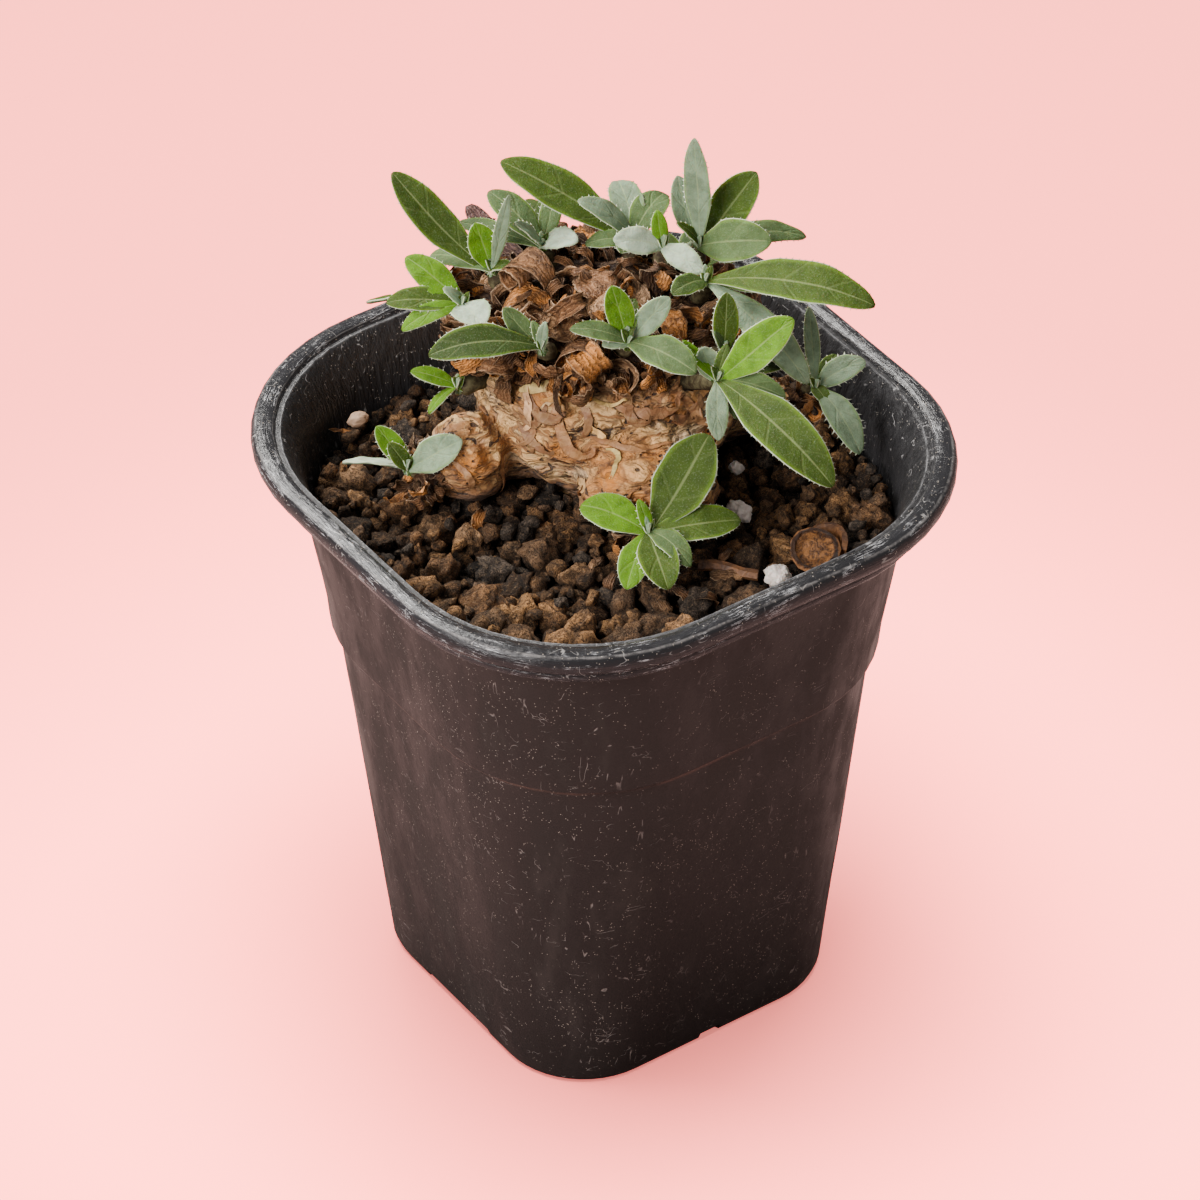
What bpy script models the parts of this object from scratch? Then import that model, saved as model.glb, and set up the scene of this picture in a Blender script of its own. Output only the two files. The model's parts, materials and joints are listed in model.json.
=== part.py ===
"""A potted othonna: a swollen shaggy stem with heads of felted leaves, in a square nursery pot.

Sizes are in millimetres and are turned into metres where a mesh is made. The pot stands on z = 0 with its
centre on the origin and its sides along X and Y. The plant is laid out in a frame of its own, which the empty
called plant turns in the pot: X runs to the right of somebody who faces the plant, Y away from them, Z up.
"""
import math
import random

import bmesh
import bpy
from mathutils import Matrix, Vector, geometry, noise
from mathutils.bvhtree import BVHTree

MM = 0.001
GAP = 0.3
PLANT_TURN = math.radians(-34.8)

# The pot
POT_HEIGHT = 107.3
RIM_HALF = 50.0
BASE_HALF = 29.9
STEP_HEIGHT = 70.0
STEP_PROUD = 0.9
WALL = 1.1
WALL_LEAN = 0.131
FLOOR = 2.6
FLOOR_COVE = 1.4
CORNER_STEPS = 5
DRAIN_RADIUS = 4.0
DRAIN_PLACE = 15.0
FOOT_GAP_HALF = 8.9
FOOT_GAP_HEIGHT = 1.7
FOOT_GAP_DEPTH = 4.0
FOOT_NICK_HALF = 2.0

# The soil
SOIL_LEVEL = 95.0
SOIL_ROOM = 0.42
GRAIN = 6.8
GRAIN_RISE = 2.6
SINK = 0.7
DROP_HEIGHT = 104.0
BIT_ROOM = 0.6

# The swollen stem
TRUNK = Vector((0.8, 14.0, 105.0))
CROWN_CAP = Vector((-0.5, 15.0, 119.5))
CROWN_RADII = Vector((22.8, 14.4, 8.6))

# Every leaf
BLADE = 0.9
FOOT_HALF = 0.55
TOOTH = 0.28
DRY_BLADE = 0.8
STRIP_ROOM = 0.7
STALK_RADIUS = 1.5

for old in list(bpy.data.objects):
    bpy.data.objects.remove(old)


def collection(name, shown=True):
    made = bpy.data.collections.new(name)
    made.hide_render = not shown
    bpy.context.scene.collection.children.link(made)
    return made


PARTS = collection("potted_othonna")
CUTTERS = collection("cutters", shown=False)

plant = bpy.data.objects.new("plant", None)
plant.rotation_euler.z = PLANT_TURN
PARTS.objects.link(plant)


def material(name, colour, roughness):
    made = bpy.data.materials.new(name)
    made.use_nodes = True
    shader = made.node_tree.nodes["Principled BSDF"]
    shader.inputs["Base Color"].default_value = (*colour, 1.0)
    shader.inputs["Roughness"].default_value = roughness
    shader.inputs["Metallic"].default_value = 0.0
    made.diffuse_color = (*colour, 1.0)
    return made


def mesh_object(name, points, faces, finish=None, parent=None):
    """A mesh object from points in millimetres, its faces turned to look outwards."""
    mesh = bpy.data.meshes.new(name)
    mesh.from_pydata([Vector(point) * MM for point in points], [], faces)
    shape = bmesh.new()
    shape.from_mesh(mesh)
    bmesh.ops.recalc_face_normals(shape, faces=shape.faces)
    shape.to_mesh(mesh)
    shape.free()
    made = bpy.data.objects.new(name, mesh)
    made.parent = parent
    PARTS.objects.link(made)
    if finish:
        mesh.materials.append(finish)
    return made


def applied(made):
    """The object with its modifiers made part of its mesh."""
    bpy.context.view_layer.update()
    graph = bpy.context.evaluated_depsgraph_get()
    old = made.data
    name = old.name
    made.data = bpy.data.meshes.new_from_object(made.evaluated_get(graph))
    made.modifiers.clear()
    bpy.data.meshes.remove(old)
    made.data.name = name
    return made


def whole(made):
    """Drops the loose scraps that a Boolean left: the largest piece stays."""
    shape = bmesh.new()
    shape.from_mesh(made.data)
    bmesh.ops.triangulate(shape, faces=shape.faces)
    left = set(shape.verts)
    pieces = []
    while left:
        start = left.pop()
        piece = {start}
        edge_of_piece = [start]
        while edge_of_piece:
            vertex = edge_of_piece.pop()
            for edge in vertex.link_edges:
                other = edge.other_vert(vertex)
                if other in left:
                    left.discard(other)
                    piece.add(other)
                    edge_of_piece.append(other)
        pieces.append(piece)
    pieces.sort(key=len)
    scraps = [vertex for piece in pieces[:-1] for vertex in piece]
    bmesh.ops.delete(shape, geom=scraps, context="VERTS")
    shape.to_mesh(made.data)
    shape.free()
    return made


def combine(made, operation, others):
    """One Boolean on a collection of helpers, applied, with the helpers then removed."""
    helpers = bpy.data.collections.new("helpers")
    bpy.context.scene.collection.children.link(helpers)
    for other in others:
        for home in list(other.users_collection):
            home.objects.unlink(other)
        helpers.objects.link(other)
    change = made.modifiers.new(operation.lower(), "BOOLEAN")
    change.operation = operation
    change.operand_type = "COLLECTION"
    change.collection = helpers
    change.solver = "EXACT"
    applied(made)
    for other in others:
        bpy.data.objects.remove(other)
    bpy.data.collections.remove(helpers)
    return whole(made)


def surface(made):
    """A search tree of the object's faces, in world metres."""
    bpy.context.view_layer.update()
    shape = bmesh.new()
    shape.from_mesh(made.data)
    shape.transform(made.matrix_world)
    tree = BVHTree.FromBMesh(shape)
    shape.free()
    return tree


def swollen(made, by):
    """A cutter with the object's shape, moved outwards by that many millimetres."""
    mesh = made.data.copy()
    mesh.update()
    normals = [vertex.normal.copy() for vertex in mesh.vertices]
    for vertex, normal in zip(mesh.vertices, normals):
        vertex.co += normal * by * MM
    cutter = bpy.data.objects.new(made.name + "_room", mesh)
    cutter.parent = made.parent
    cutter.location = made.location
    cutter.hide_render = True
    cutter.display_type = "WIRE"
    CUTTERS.objects.link(cutter)
    return cutter


def rounded_square(half, corner, z):
    """Points round a square with rounded corners, anticlockwise."""
    points = []
    for quarter in range(4):
        turn = Matrix.Rotation(quarter * math.pi / 2, 3, "Z")
        for step in range(CORNER_STEPS + 1):
            angle = math.pi / 2 * step / CORNER_STEPS
            x = half - corner + corner * math.cos(angle)
            y = half - corner + corner * math.sin(angle)
            points.append(turn @ Vector((x, y, z)))
    return points


def loft(rings):
    """Points and faces of a closed skin through rings of equal count, capped at both ends."""
    count = len(rings[0])
    points = [point for ring in rings for point in ring]
    faces = [list(range(count))]
    for level in range(len(rings) - 1):
        for k in range(count):
            low = level * count
            after = (k + 1) % count
            faces.append([low + k, low + after, low + count + after, low + count + k])
    faces.append([(len(rings) - 1) * count + k for k in range(count)])
    return points, faces


def wall_half(z):
    """Half the width of the pot's body outside, at a height."""
    return BASE_HALF + WALL_LEAN * z + (STEP_PROUD if z > STEP_HEIGHT else 0.0)


def wall_corner(z):
    """The corner radius of the body outside, at a height: the foot is squarer than the top."""
    return 15.0 + 0.19 * z if z < 75.0 else 29.3 + 0.05 * (z - 75.0)


def inside_wall(z, room):
    """Half the width and the corner radius of the pot's inside at a height, less some room."""
    return wall_half(z) - WALL - room, wall_corner(z) - 0.6 * WALL - room


def make_pot():
    """One thin wall that runs up from the foot, steps out at the shoulder, and rolls over at the rim."""
    top = POT_HEIGHT
    rim = RIM_HALF
    outside = [(wall_half(0) - 1.3, 0.0), (wall_half(0) - 0.3, 0.4), (wall_half(1.6), 1.6)]
    under_step = STEP_HEIGHT - 0.6
    over_step = STEP_HEIGHT + 0.4
    outside += [(wall_half(under_step), under_step), (wall_half(over_step), over_step)]
    outside += [(wall_half(94.0), 94.0), (wall_half(99.0) + 0.4, 99.4), (rim - 3.4, top - 7.0)]
    outside += [(rim - 2.4, top - 6.4), (rim - 2.2, top - 5.2), (rim - 2.5, top - 4.6)]
    outside += [(rim - 1.0, top - 3.9), (rim - 0.1, top - 2.6), (rim - 0.1, top - 1.2)]
    outside += [(rim - 0.8, top - 0.3)]
    inside = [(rim - 1.9, top), (rim - 3.2, top - 0.3), (rim - 3.6, top - 0.9), (rim - 4.8, top - 2.0)]
    inside += [(rim - 6.3, top - 4.6), (rim - 7.4, top - 8.0), (wall_half(94.0) - WALL, 94.0)]
    inside += [(wall_half(z) - WALL, z) for z in (STEP_HEIGHT + 1.0, STEP_HEIGHT - 0.8, FLOOR + 1.5)]
    inside += [(wall_half(FLOOR) - WALL - FLOOR_COVE, FLOOR)]
    rings = []
    for half, z in outside + inside:
        corner = wall_corner(z) + 0.6 * (half - wall_half(z))
        rings.append(rounded_square(half, corner, z))
    pot = mesh_object("pot", *loft(rings), finish=material("pot_plastic", (0.035, 0.026, 0.024), 0.45))
    cutters = []
    for x, y in ((1, 1), (-1, 1), (-1, -1), (1, -1)):
        place = Vector((x, y, 0)) * DRAIN_PLACE * MM
        radius = DRAIN_RADIUS * MM
        bpy.ops.mesh.primitive_cylinder_add(vertices=16, radius=radius, depth=12 * MM, location=place)
        cutters.append(bpy.context.object)
    for side in range(4):
        half = FOOT_GAP_HALF if side % 2 == 0 else FOOT_NICK_HALF
        bpy.ops.mesh.primitive_cube_add(size=1)
        notch = bpy.context.object
        size = Vector((FOOT_GAP_DEPTH * 2, half * 2, FOOT_GAP_HEIGHT * 2)) * MM
        turn = Matrix.Rotation(side * math.pi / 2, 4, "Z")
        place = Matrix.Translation(Vector((BASE_HALF, 0, 0)) * MM)
        notch.data.transform(turn @ place @ Matrix.Diagonal((*size, 1)))
        cutters.append(notch)
    combine(pot, "DIFFERENCE", cutters)
    return pot


def spread(low, high, spacing, keep, seed):
    """Seeded points over a rectangle, none nearer to another than their spacing."""
    draw = random.Random(seed)
    found = []
    for attempt in range(5200):
        x = draw.uniform(low, high)
        y = draw.uniform(low, high)
        if not keep(x, y):
            continue
        apart = spacing(x, y)
        if all((x - a) ** 2 + (y - b) ** 2 > apart * apart for a, b in found):
            found.append((x, y))
    return found


def inside_square(x, y, half, corner):
    over_x = max(abs(x) - (half - corner), 0.0)
    over_y = max(abs(y) - (half - corner), 0.0)
    return max(abs(x), abs(y)) < half and math.hypot(over_x, over_y) < corner


def make_soil():
    """Angular grains over the pot's whole mouth: a raised point in each grain, crevices between them."""
    half, corner = inside_wall(SOIL_LEVEL, SOIL_ROOM)
    front = Vector((-math.sin(PLANT_TURN), -math.cos(PLANT_TURN)))

    def spacing(x, y):
        nearness = (Vector((x, y)) @ front) / 40.0
        return GRAIN * (1.0 + 0.22 * nearness) * (0.8 + 0.4 * noise.random())

    noise.seed_set(4)
    grains = spread(-half, half, spacing, lambda x, y: inside_square(x, y, half - 1.6, corner - 1.6), 11)
    border = rounded_square(half, corner, 0)
    rim = [Vector((point.x, point.y)) for point in border]
    tops = [Vector(grain) for grain in grains]
    first = geometry.delaunay_2d_cdt(rim + tops, [], [list(range(len(rim)))], 1, 1e-6)
    crevices = []
    for face in first[2]:
        a, b, c = (first[0][k] for k in face)
        middle = (a + b + c) / 3
        crevices.append(middle)
    joined = geometry.delaunay_2d_cdt(rim + tops + crevices, [], [list(range(len(rim)))], 1, 1e-6)
    draw = random.Random(5)
    heights = []
    for point, source in zip(joined[0], joined[3]):
        start = source[0] if source else 0
        if len(rim) <= start < len(rim) + len(tops):
            heights.append(SOIL_LEVEL + GRAIN_RISE * draw.uniform(0.25, 0.85))
        elif start < len(rim):
            heights.append(SOIL_LEVEL - 0.4 * GRAIN_RISE)
        else:
            heights.append(SOIL_LEVEL - GRAIN_RISE * draw.uniform(0.1, 0.6))
    points = [Vector((point.x, point.y, z)) for point, z in zip(joined[0], heights)]
    faces = [list(face) for face in joined[2]]
    ring_of = {start: k for k, source in enumerate(joined[3]) for start in source if start < len(rim)}
    upper = [ring_of[k] for k in range(len(rim))]
    levels = [88.0, STEP_HEIGHT + 1.0, STEP_HEIGHT - 0.8, FLOOR + 1.8, FLOOR + GAP]
    for z in levels:
        foot = FLOOR_COVE if z < FLOOR + 1.0 else 0.0
        start = len(points)
        points += rounded_square(*inside_wall(z, SOIL_ROOM + foot), z)
        lower = list(range(start, start + len(rim)))
        for k in range(len(rim)):
            after = (k + 1) % len(rim)
            faces.append([upper[k], upper[after], lower[after], lower[k]])
        upper = lower
    faces.append(upper)
    return mesh_object("soil", points, faces, finish=material("soil_grains", (0.085, 0.05, 0.032), 0.95))


def lump(centre, radii, detail=3):
    """A ball stretched to those radii, as a helper object in the plant's frame."""
    bpy.ops.mesh.primitive_ico_sphere_add(subdivisions=detail, radius=1)
    made = bpy.context.object
    stretch = Matrix.Diagonal((*(Vector(radii) * MM), 1))
    made.data.transform(Matrix.Translation(Vector(centre) * MM) @ stretch)
    made.parent = plant
    return made


def limb(start, end, start_radius, end_radius, sides=12, reach=0.0):
    """A tapered round bar between two points, as a helper object in the plant's frame."""
    start = Vector(start)
    end = Vector(end)
    along = (end - start).normalized()
    start = start - along * reach
    end = end + along * reach
    shape = bmesh.new()
    bmesh.ops.create_cone(
        shape,
        cap_ends=True,
        segments=sides,
        radius1=start_radius * MM,
        radius2=end_radius * MM,
        depth=(end - start).length * MM,
    )
    aim = along.to_track_quat("Z", "Y").to_matrix().to_4x4()
    shape.transform(Matrix.Translation((start + end) / 2 * MM) @ aim)
    mesh = bpy.data.meshes.new("limb")
    shape.to_mesh(mesh)
    shape.free()
    made = bpy.data.objects.new("limb", mesh)
    made.parent = plant
    PARTS.objects.link(made)
    return made


def make_caudex():
    """The stout stem: a barrel over a tapered root, with three stubs, its bark in rough papery folds."""
    lumps = [
        lump(TRUNK, (21.0, 18.5, 14.0)),
        lump(TRUNK + Vector((0, 0, 5.0)), (21.2, 17.4, 9.5)),
        lump((-21.5, 1.5, 101.5), (6.4, 6.6, 7.0)),
        lump((7.5, -6.0, 101.0), (11.0, 8.5, 7.4)),
        lump((6.5, -11.5, 99.0), (5.5, 3.5, 4.5)),
        limb((-12.0, 8.0, 100.0), (-27.0, 0.5, 99.5), 4.5, 3.0),
        limb((16.0, 15.0, 100.0), (31.0, 13.6, 103.0), 5.5, 2.4),
        limb((0.8, 14.0, 74.0), (2.0, 14.0, 100.0), 8.0, 16.0, sides=20),
    ]
    caudex = lumps[0]
    caudex.name = "caudex"
    for home in list(caudex.users_collection):
        home.objects.unlink(caudex)
    PARTS.objects.link(caudex)
    combine(caudex, "UNION", lumps[1:])
    remesh = caudex.modifiers.new("skin", "REMESH")
    remesh.mode = "VOXEL"
    remesh.voxel_size = 1.3 * MM
    soften = caudex.modifiers.new("soften", "SMOOTH")
    soften.iterations = 2
    applied(caudex)
    for vertex in caudex.data.vertices:
        place = vertex.co / MM
        outwards = vertex.normal.copy()
        bands = noise.ridged_multi_fractal(place * Vector((0.07, 0.07, 0.16)), 1.0, 2.0, 3, 1.0, 2.0)
        grain = noise.noise(place * 0.35)
        above = min(max((place.z - 90.0) / 5.0, 0.0), 1.0)
        vertex.co += outwards * (0.75 * bands + 0.5 * grain - 0.6) * above * MM
    fewer = caudex.modifiers.new("fewer", "DECIMATE")
    fewer.ratio = 0.085
    fewer.use_collapse_triangulate = True
    applied(caudex)
    caudex.data.materials.clear()
    caudex.data.materials.append(material("caudex_bark", (0.5, 0.32, 0.19), 0.85))
    return whole(caudex)


def ribbon(path, sides, halves, thick, fold):
    """A thin closed blade along a path: two edges, a raised back and a belly, split alike on both faces."""
    points = [path[0]]
    for k in range(1, len(path) - 1):
        along = (path[k + 1] - path[k - 1]).normalized()
        side = sides[k].normalized()
        up = side.cross(along).normalized()
        centre = path[k]
        lift = up * fold * halves[k]
        points += [centre - side * halves[k] + lift, centre + up * thick / 2]
        points += [centre + side * halves[k] + lift, centre - up * thick / 2]
    points.append(path[-1])
    last = len(points) - 1
    faces = [[0, 1, 2], [0, 2, 3], [0, 3, 4], [0, 4, 1]]
    for k in range(len(path) - 3):
        low = 1 + 4 * k
        high = low + 4
        for edge, middle in ((0, 1), (2, 1), (2, 3), (0, 3)):
            faces.append([low + edge, high + edge, high + middle])
            faces.append([low + edge, high + middle, low + middle])
    end = last - 4
    faces += [[end, end + 1, last], [end + 1, end + 2, last], [end + 2, end + 3, last], [end + 3, end, last]]
    return points, faces


def leaf_half(t, width):
    """Half a leaf's width at a share of its length: a narrow foot, widest past the middle, a blunt tip."""
    taper = 0.55 + 0.45 * min(t / 0.45, 1.0)
    return max(width / 2 * math.sin(math.pi * t ** 1.35) ** 0.62 * taper, FOOT_HALF)


def leaf(tip, width, arch=0.1, front=0.35, right=0.0, foot=(0, 0, 0)):
    """A felted leaf from its foot to its tip, with teeth on both edges.

    It is bowed by a share of its length, and its upper face leans to the front and right by those shares.
    """
    foot = Vector(foot)
    tip = Vector(tip)
    axis = tip - foot
    length = axis.length
    axis.normalize()
    side = axis.cross(Vector((right, -front, 1.0))).normalized()
    up = side.cross(axis)
    start = foot - axis * 1.2
    stations = 4 if length < 6 else (5 if length < 11 else (6 if length < 18 else 8))
    path = []
    halves = []
    for k in range(stations + 1):
        t = 1 - (1 - k / stations) ** 1.45
        path.append(start.lerp(tip, t) + up * arch * length * 4 * t * (1 - t))
        tooth = TOOTH * (1 if k % 2 else -1) if 0.3 < t < 0.97 and length > 7 else 0.0
        halves.append(leaf_half(t, width) + tooth)
    return ribbon(path, [side] * (stations + 1), halves, BLADE, 0.14)


# Each head: its crown in the plant's frame, the way its stalk runs down into what it grows from, and its
# leaves. A leaf is the place of its tip from the crown, its width, and how it is bowed and turned.
HEADS = {
    "rosette_front_high": {
        "crown": (4.0, 0.0, 125.0),
        "stalk": (-1.0, 6.0, -6.0),
        "leaves": [
            leaf((-2.5, 2.5, 9.5), 4.6, arch=-0.08),
            leaf((-9.0, -1.0, 4.0), 3.6, arch=0.12),
            leaf((-4.0, -2.0, 1.5), 2.6),
            leaf((6.5, 3.0, 7.0), 4.2, arch=-0.05),
            leaf((10.5, -8.8, 1.1), 6.4, arch=0.13),
            leaf((1.0, 5.5, 5.0), 2.6),
        ],
    },
    "rosette_right_shoulder": {
        "crown": (18.0, -5.0, 121.5),
        "stalk": (-4.5, 8.0, -6.0),
        "leaves": [
            leaf((11.5, 1.5, 11.0), 6.6, arch=0.06, front=0.6),
            leaf((12.0, 6.5, -0.8), 4.2, arch=0.1),
            leaf((-2.5, 2.2, 5.0), 4.0, arch=-0.06),
            leaf((1.5, 3.0, 5.0), 2.2),
            leaf((0.0, -8.0, -5.5), 3.6, arch=0.15),
            leaf((3.0, -5.0, -3.5), 2.0, arch=0.12),
            leaf((10.5, -5.0, 0.5), 4.6, arch=0.12),
            leaf((17.5, -20.5, -4.5), 8.6, arch=0.13),
            leaf((-5.5, 3.0, 5.8), 2.2, arch=0.02),
        ],
    },
    "rosette_right_branch": {
        "crown": (34.0, 13.5, 105.5),
        "stalk": (-6.0, 0.3, -2.2),
        "leaves": [
            leaf((8.0, 2.5, 4.0), 4.8, arch=0.08),
            leaf((7.0, -10.0, -5.0), 5.0, arch=0.22),
            leaf((-3.0, 3.0, 2.0), 2.4),
            leaf((2.0, -4.5, 0.5), 2.6, arch=0.2),
            leaf((-1.0, 5.5, 12.5), 3.2, arch=-0.04),
            leaf((3.5, 5.5, 3.0), 2.6),
        ],
    },
    "rosette_front_knob": {
        "crown": (7.0, -19.0, 102.0),
        "stalk": (-0.4, 6.5, -1.5),
        "leaves": [
            leaf((9.5, 9.5, 12.5), 9.6, arch=-0.05),
            leaf((-10.5, 4.0, 3.0), 6.8, arch=0.06),
            leaf((14.5, 1.5, 1.5), 6.6, arch=0.08),
            leaf((6.5, -7.0, -0.5), 4.2, arch=0.18),
            leaf((-3.5, -10.5, -2.5), 5.2, arch=0.1),
            leaf((3.0, -11.0, -2.0), 6.4, arch=0.12),
            leaf((-1.5, 2.5, 5.0), 2.2),
        ],
    },
    "rosette_left_knob": {
        "crown": (-31.0, -1.5, 101.5),
        "stalk": (6.0, 2.6, -2.0),
        "leaves": [
            leaf((-10.5, 1.5, 0.5), 3.0, arch=0.05, front=-0.4),
            leaf((-5.0, 3.5, 6.0), 3.8, arch=-0.05),
            leaf((-3.0, 0.5, 5.0), 3.0),
            leaf((8.4, -1.8, 7.2), 5.6, arch=0.04, front=0.9),
            leaf((-2.5, 6.0, 2.0), 2.4),
        ],
    },
    "rosette_left_shoulder": {
        "crown": (-22.0, 11.0, 124.5),
        "stalk": (5.0, 2.0, -6.5),
        "leaves": [
            leaf((-9.0, 4.5, 6.5), 5.2, arch=0.05),
            leaf((-12.0, -2.0, 2.5), 4.8, arch=0.08),
            leaf((-9.5, -6.5, 0.5), 3.8, arch=0.1),
            leaf((-15.5, 3.0, -1.0), 3.2, arch=0.06, front=-0.5),
            leaf((3.0, -7.5, 2.0), 6.2, arch=0.1),
            leaf((-3.0, -0.5, 4.0), 2.2),
        ],
    },
    "rosette_left_crown": {
        "crown": (-17.5, 16.5, 127.0),
        "stalk": (4.0, 0.0, -7.0),
        "leaves": [
            leaf((-15.5, 8.0, 14.0), 7.4, arch=-0.04),
            leaf((-2.5, 1.5, 8.5), 5.0, arch=-0.06),
            leaf((3.0, -3.5, 4.0), 2.6),
            leaf((-10.0, 6.5, -1.5), 4.2, arch=0.15),
        ],
    },
    "rosette_front_left": {
        "crown": (-9.5, -0.5, 124.5),
        "stalk": (2.5, 6.0, -5.5),
        "leaves": [
            leaf((-17.5, -5.5, 3.5), 6.6, arch=0.1),
            leaf((-6.0, 3.0, 6.0), 3.6, arch=-0.05),
            leaf((-1.5, 1.5, 4.5), 1.9),
            leaf((0.5, 0.5, 5.0), 1.9),
        ],
    },
    "rosette_back_left": {
        "crown": (-9.5, 21.0, 128.5),
        "stalk": (2.0, -2.0, -7.0),
        "leaves": [
            leaf((-8.5, 6.5, 6.5), 5.4, arch=0.08),
            leaf((-13.5, 6.5, 0.5), 3.6, arch=0.06),
            leaf((-4.0, -4.0, 8.0), 2.6, arch=0.05, front=0.2, right=1.5),
            leaf((5.5, -3.5, 4.0), 4.6, arch=0.12),
            leaf((-3.0, 12.0, 1.0), 5.0, arch=0.12),
            leaf((2.0, 9.0, 5.0), 3.6, arch=0.08),
        ],
    },
    "rosette_back_middle": {
        "crown": (5.0, 22.0, 128.8),
        "stalk": (-1.0, -2.0, -8.0),
        "leaves": [
            leaf((-21.0, 5.5, 12.0), 7.8, arch=0.05),
            leaf((-8.5, -1.5, 9.5), 4.2, arch=0.1),
            leaf((-7.5, -3.0, 2.0), 3.6, arch=0.15),
            leaf((-2.5, 10.0, 5.0), 5.4, arch=0.2),
            leaf((5.0, 7.0, 4.5), 5.6, arch=0.22),
            leaf((-2.0, -6.0, 2.5), 4.2, arch=0.12),
            leaf((-8.5, 11.0, 0.0), 5.0, arch=0.12),
        ],
    },
    "rosette_back_centre": {
        "crown": (9.6, 19.0, 129.8),
        "stalk": (0.0, -2.5, -7.5),
        "leaves": [
            leaf((-7.8, -2.2, 3.4), 4.6, arch=0.12, front=0.8),
            leaf((6.2, -6.2, -0.2), 4.2, arch=0.14, front=0.8),
            leaf((-0.9, 2.0, 6.0), 2.8),
        ],
    },
    "rosette_back_right": {
        "crown": (15.5, 22.0, 127.8),
        "stalk": (-2.5, -3.0, -7.5),
        "leaves": [
            leaf((-1.0, 2.0, 19.5), 4.6, arch=0.02, front=1.0, right=0.7),
            leaf((9.0, 3.5, 12.0), 6.8, arch=-0.05),
            leaf((-3.5, 5.5, 10.0), 4.4, arch=-0.04),
            leaf((-3.5, -1.0, 5.5), 2.0),
            leaf((11.0, -6.0, 5.5), 7.2, arch=0.12, front=0.9),
            leaf((17.0, 1.5, 1.0), 4.4, arch=0.12),
            leaf((7.0, 12.0, 3.0), 5.2, arch=0.12),
            leaf((-1.0, 13.0, 0.0), 4.6, arch=0.14),
        ],
    },
    "rosette_right_crown": {
        "crown": (16.5, 12.0, 128.0),
        "stalk": (-2.0, 1.5, -6.5),
        "leaves": [
            leaf((26.0, -10.0, 3.5), 8.0, arch=0.12),
            leaf((15.8, -15.0, -8.3), 6.2, arch=0.14),
            leaf((12.0, 0.5, -1.5), 4.2, arch=0.1),
            leaf((-5.5, -5.5, 2.0), 4.2, arch=0.12),
        ],
    },
    "rosette_left_side": {
        "crown": (-23.0, 6.0, 112.0),
        "stalk": (5.0, 3.5, -0.5),
        "leaves": [
            leaf((-7.5, 0.5, 3.0), 3.2, arch=0.08),
            leaf((-4.5, -6.0, -0.5), 2.4, arch=0.1, right=-0.6),
        ],
    },
    "rosette_right_upright": {
        "crown": (19.0, 1.5, 122.0),
        "stalk": (-4.0, 3.0, -4.0),
        "leaves": [leaf((0.5, 0.5, 11.5), 4.2, arch=0.04), leaf((-1.5, -1.0, 5.0), 2.2)],
    },
    "rosette_rear_low_left": {
        "crown": (-12.0, 34.0, 112.0),
        "stalk": (3.0, -6.0, -1.0),
        "leaves": [
            leaf((-10.0, 5.0, 4.0), 4.8, arch=0.1),
            leaf((-3.0, 9.0, 3.0), 5.0, arch=0.12),
            leaf((4.0, 6.0, 6.0), 3.8, arch=0.06),
            leaf((-3.0, 1.0, 6.0), 3.0),
        ],
    },
    "rosette_rear_low_right": {
        "crown": (13.0, 34.0, 113.0),
        "stalk": (-3.0, -6.0, -1.0),
        "leaves": [
            leaf((10.5, 3.0, 4.0), 5.4, arch=0.1),
            leaf((3.0, 10.0, 2.0), 5.0, arch=0.14),
            leaf((-4.0, 7.0, 4.0), 4.0, arch=0.08),
            leaf((2.0, 1.0, 6.5), 3.0),
        ],
    },
}
FELT = {
    "green": material("leaf_green", (0.13, 0.22, 0.07), 0.7),
    "silver": material("leaf_silver", (0.30, 0.38, 0.28), 0.75),
}


def make_head(name, head):
    """A short stalk with a rounded top, and the leaves fused to it."""
    crown = Vector(head["crown"])
    stalk = limb(Vector(head["stalk"]), Vector((0, 0, 0)), STALK_RADIUS, STALK_RADIUS, sides=8)
    stalk.name = name
    stalk.location = crown * MM
    bpy.ops.mesh.primitive_ico_sphere_add(subdivisions=1, radius=2.0 * MM)
    knob = bpy.context.object
    knob.parent = plant
    knob.location = crown * MM
    blades = [knob]
    for points, faces in head["leaves"]:
        blade = mesh_object(name + "_leaf", points, faces, parent=plant)
        blade.location = crown * MM
        blades.append(blade)
    combine(stalk, "UNION", blades)
    stalk.data.materials.clear()
    stalk.data.materials.append(FELT["silver" if "back" in name or "left_knob" in name else "green"])
    return stalk


def socket(head, both_ends=GAP):
    """A cutter for the plain hole that a head's stalk stands in."""
    crown = Vector(head["crown"])
    radius = (STALK_RADIUS + GAP) / math.cos(math.pi / 8) + 0.02
    hole = limb(Vector(head["stalk"]), Vector((0, 0, 0)), radius, radius, sides=8, reach=both_ends)
    hole.location = crown * MM
    hole.hide_render = True
    hole.display_type = "WIRE"
    return hole


def dried_strip(start, way, side, length, width, curl, draw, steps=4):
    """A dead leaf as a curled ribbon: it leaves its place one way and rolls up about its own width."""
    side = (side - way * side.dot(way) / way.length_squared).normalized()
    path = [start]
    sides = [side]
    heading = way.normalized()
    twist = math.radians(draw.uniform(-45, 45)) / steps
    for k in range(steps):
        tighter = 0.5 + k / steps
        heading = Matrix.Rotation(math.radians(curl) / steps * tighter, 3, side) @ heading
        side = Matrix.Rotation(twist, 3, heading) @ side
        path.append(path[-1] + heading * length / steps)
        sides.append(side)
    shares = [math.sin(math.pi * (k + 1) / (steps + 1.5)) for k in range(steps + 1)]
    halves = [width / 2 * (0.55 + 0.45 * share) for share in shares]
    return ribbon(path, sides, halves, DRY_BLADE, draw.uniform(-0.25, 0.3))


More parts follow.
